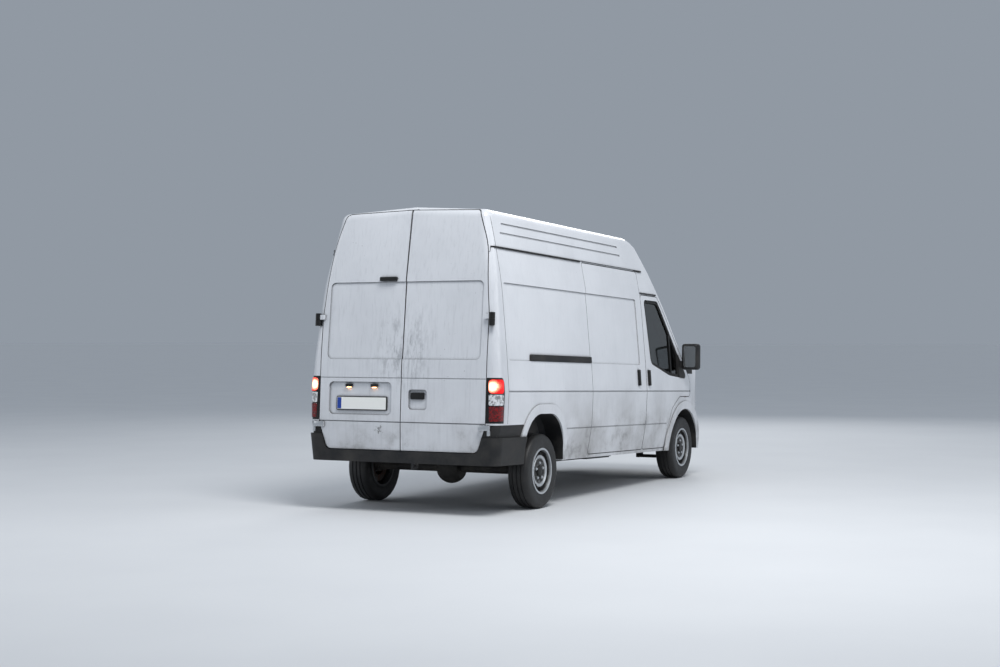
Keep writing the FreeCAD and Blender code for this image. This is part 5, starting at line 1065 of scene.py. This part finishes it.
# Throttle, brake and clutch: middle across and half width; each hangs on an arm from under the dashboard
PEDALS = ((0.27, 0.022), (0.405, 0.040), (0.535, 0.036))
PAD_X, PAD_FOOT, PAD_TOP, ARM_X, ARM_HALF, ARM_FOOT, ARM_TOP = 4.398, 0.700, 0.775, 4.410, 0.007, 0.755, 1.085
bm = bmesh.new()
for across, half in PEDALS:
    block(bm, (PAD_X, across - half, PAD_FOOT), (PAD_X + 0.015, across + half, PAD_TOP), soft=0.005)
    block(bm, (ARM_X, across - ARM_HALF, ARM_FOOT), (ARM_X + 0.014, across + ARM_HALF, ARM_TOP), soft=0.003)
make("pedals", bm, "smooth black ABS", "van_body")

# %% [markdown]
# The doors are trimmed from inside: a moulded card hides the steel, and on it sit an armrest, a pocket
# and a pull, which are lifted off the door by the card's thickness.

# %% Door cards
# Piece, middle along and up, half length and height, corner, lift and thickness, finish
CARD_PIECES = (
    ("door_card", 3.965, 0.955, 0.265, 0.245, 0.05, 0.0005, 0.008, "grey cab plastic"),
    ("armrest", 3.950, 1.010, 0.170, 0.026, 0.015, 0.0090, 0.045, "smooth black ABS"),
    ("door_pocket", 3.960, 0.790, 0.210, 0.060, 0.020, 0.0090, 0.040, "grey cab plastic"),
    ("door_pull", 4.120, 1.120, 0.050, 0.016, 0.008, 0.0090, 0.014, "smooth black ABS"),
)
for side, sign in SIDES:
    inner = surface(f"front_door_{side}")
    for name, along, up, half, tall, soft, lift, thick, paint in CARD_PIECES:
        slab(f"{name}_{side}", f"inside {side}", inner, oblong(along, up, half, tall), f"front_door_{side}",
             paint, soft=soft, lift=lift, thick=thick, step=0.3)

# %% [markdown]
# A working van protects its load space with plywood: a thick sheet on the floor, notched round the wheel
# boxes, and thin sheets on the walls. Birch ply is pale brown, with long grain that runs along the sheet.
# Six steel rings in the floor take the straps, and a rod on the right rear door works its bolts.

# %% Load space
tree, shader, place = finish("birch plywood", **{"IOR": 1.5})
along = add(tree, "ShaderNodeMapping", {"Vector": place, "Scale": (1.0, 18.0, 18.0)})
pale, dark, scuffed = linear("#A58A66"), linear("#6F5539"), linear("#4F4A44")
grain, share, wood = mottled(tree, along, (3.0, 9.0, 0.7), (0.35, 0.7), pale, dark, **EASED)
scuffs, share, wood = mottled(tree, place, (5.0, 12.0, 0.75), (0.52, 0.7, 0.0, 0.7), wood, scuffed, **EASED)
cover(tree, shader, wood, 0.6, grain, 0.3, 0.0008)
MAT_WIDE, MAT_NARROW, BOX_BACK, BOX_FRONT = 0.76, 0.56, 0.44, 1.56
mat = [(0.16, -0.70), (BOX_BACK, -0.70), (BOX_BACK, -MAT_NARROW), (BOX_FRONT, -MAT_NARROW),
       (BOX_FRONT, -MAT_WIDE), (3.40, -MAT_WIDE)]
mat += [(along, -across) for along, across in reversed(mat)]
slab("load_floor_mat", "top", surface("floor_pan"), mat, "van_body", "birch plywood", thick=0.012, step=0.9)
# Sheet, side, skin, middle along and half length
LININGS = (("lining_left", "left", "body_side_left", 1.80, 1.50),
           ("lining_right", "right", "body_side_right", 1.02, 0.72),
           ("lining_sliding", "right", "sliding_door", 2.62, 0.50))
for name, side, skin, along, half in LININGS:
    slab(name, f"inside {side}", surface(skin), oblong(along, 1.22, half, 0.20), "van_body", "birch plywood",
         soft=0.02, thick=0.004, step=0.5)
WIRE, RING, EIGHTH = 0.005, 0.026, math.pi / 4
tube = [(WIRE * math.cos(turn * EIGHTH), RING + WIRE * math.sin(turn * EIGHTH)) for turn in range(9)]
bm = bmesh.new()
for along in (0.30, 1.75, 3.10):
    for side, sign in SIDES:
        lathe(bm, tube, (along, sign * 0.62, 0.7185), axis="z", steps=20)
make("lashing_rings", bm, "zinc-plated steel", "van_body")
slab("lock_rod", "inside rear", surface("rear_door_right"), oblong(-0.105, 1.50, 0.010, 0.62),
     "rear_door_right", "zinc-plated steel", soft=0.003, thick=0.010, step=0.3, corner_steps=2)

# %% [markdown]
# The wings carry their amber repeaters, and the left flank the flap over the fuel filler, which is one
# thin plate of painted steel.

# %% Repeaters and fuel flap
for side, sign in SIDES:
    slab(f"side_repeater_{side}", side, surface(f"front_wing_{side}"), oblong(4.74, 1.040, 0.034, 0.014),
         "van_body", "amber acrylic lens", soft=0.010, thick=0.006, step=0.03)
slab("fuel_flap", "left", surface("body_side_left"), oblong(3.40, 0.930, 0.075, 0.080), "van_body",
     "white enamel", soft=0.02, lift=0.002, thick=0.0015, step=0.06)
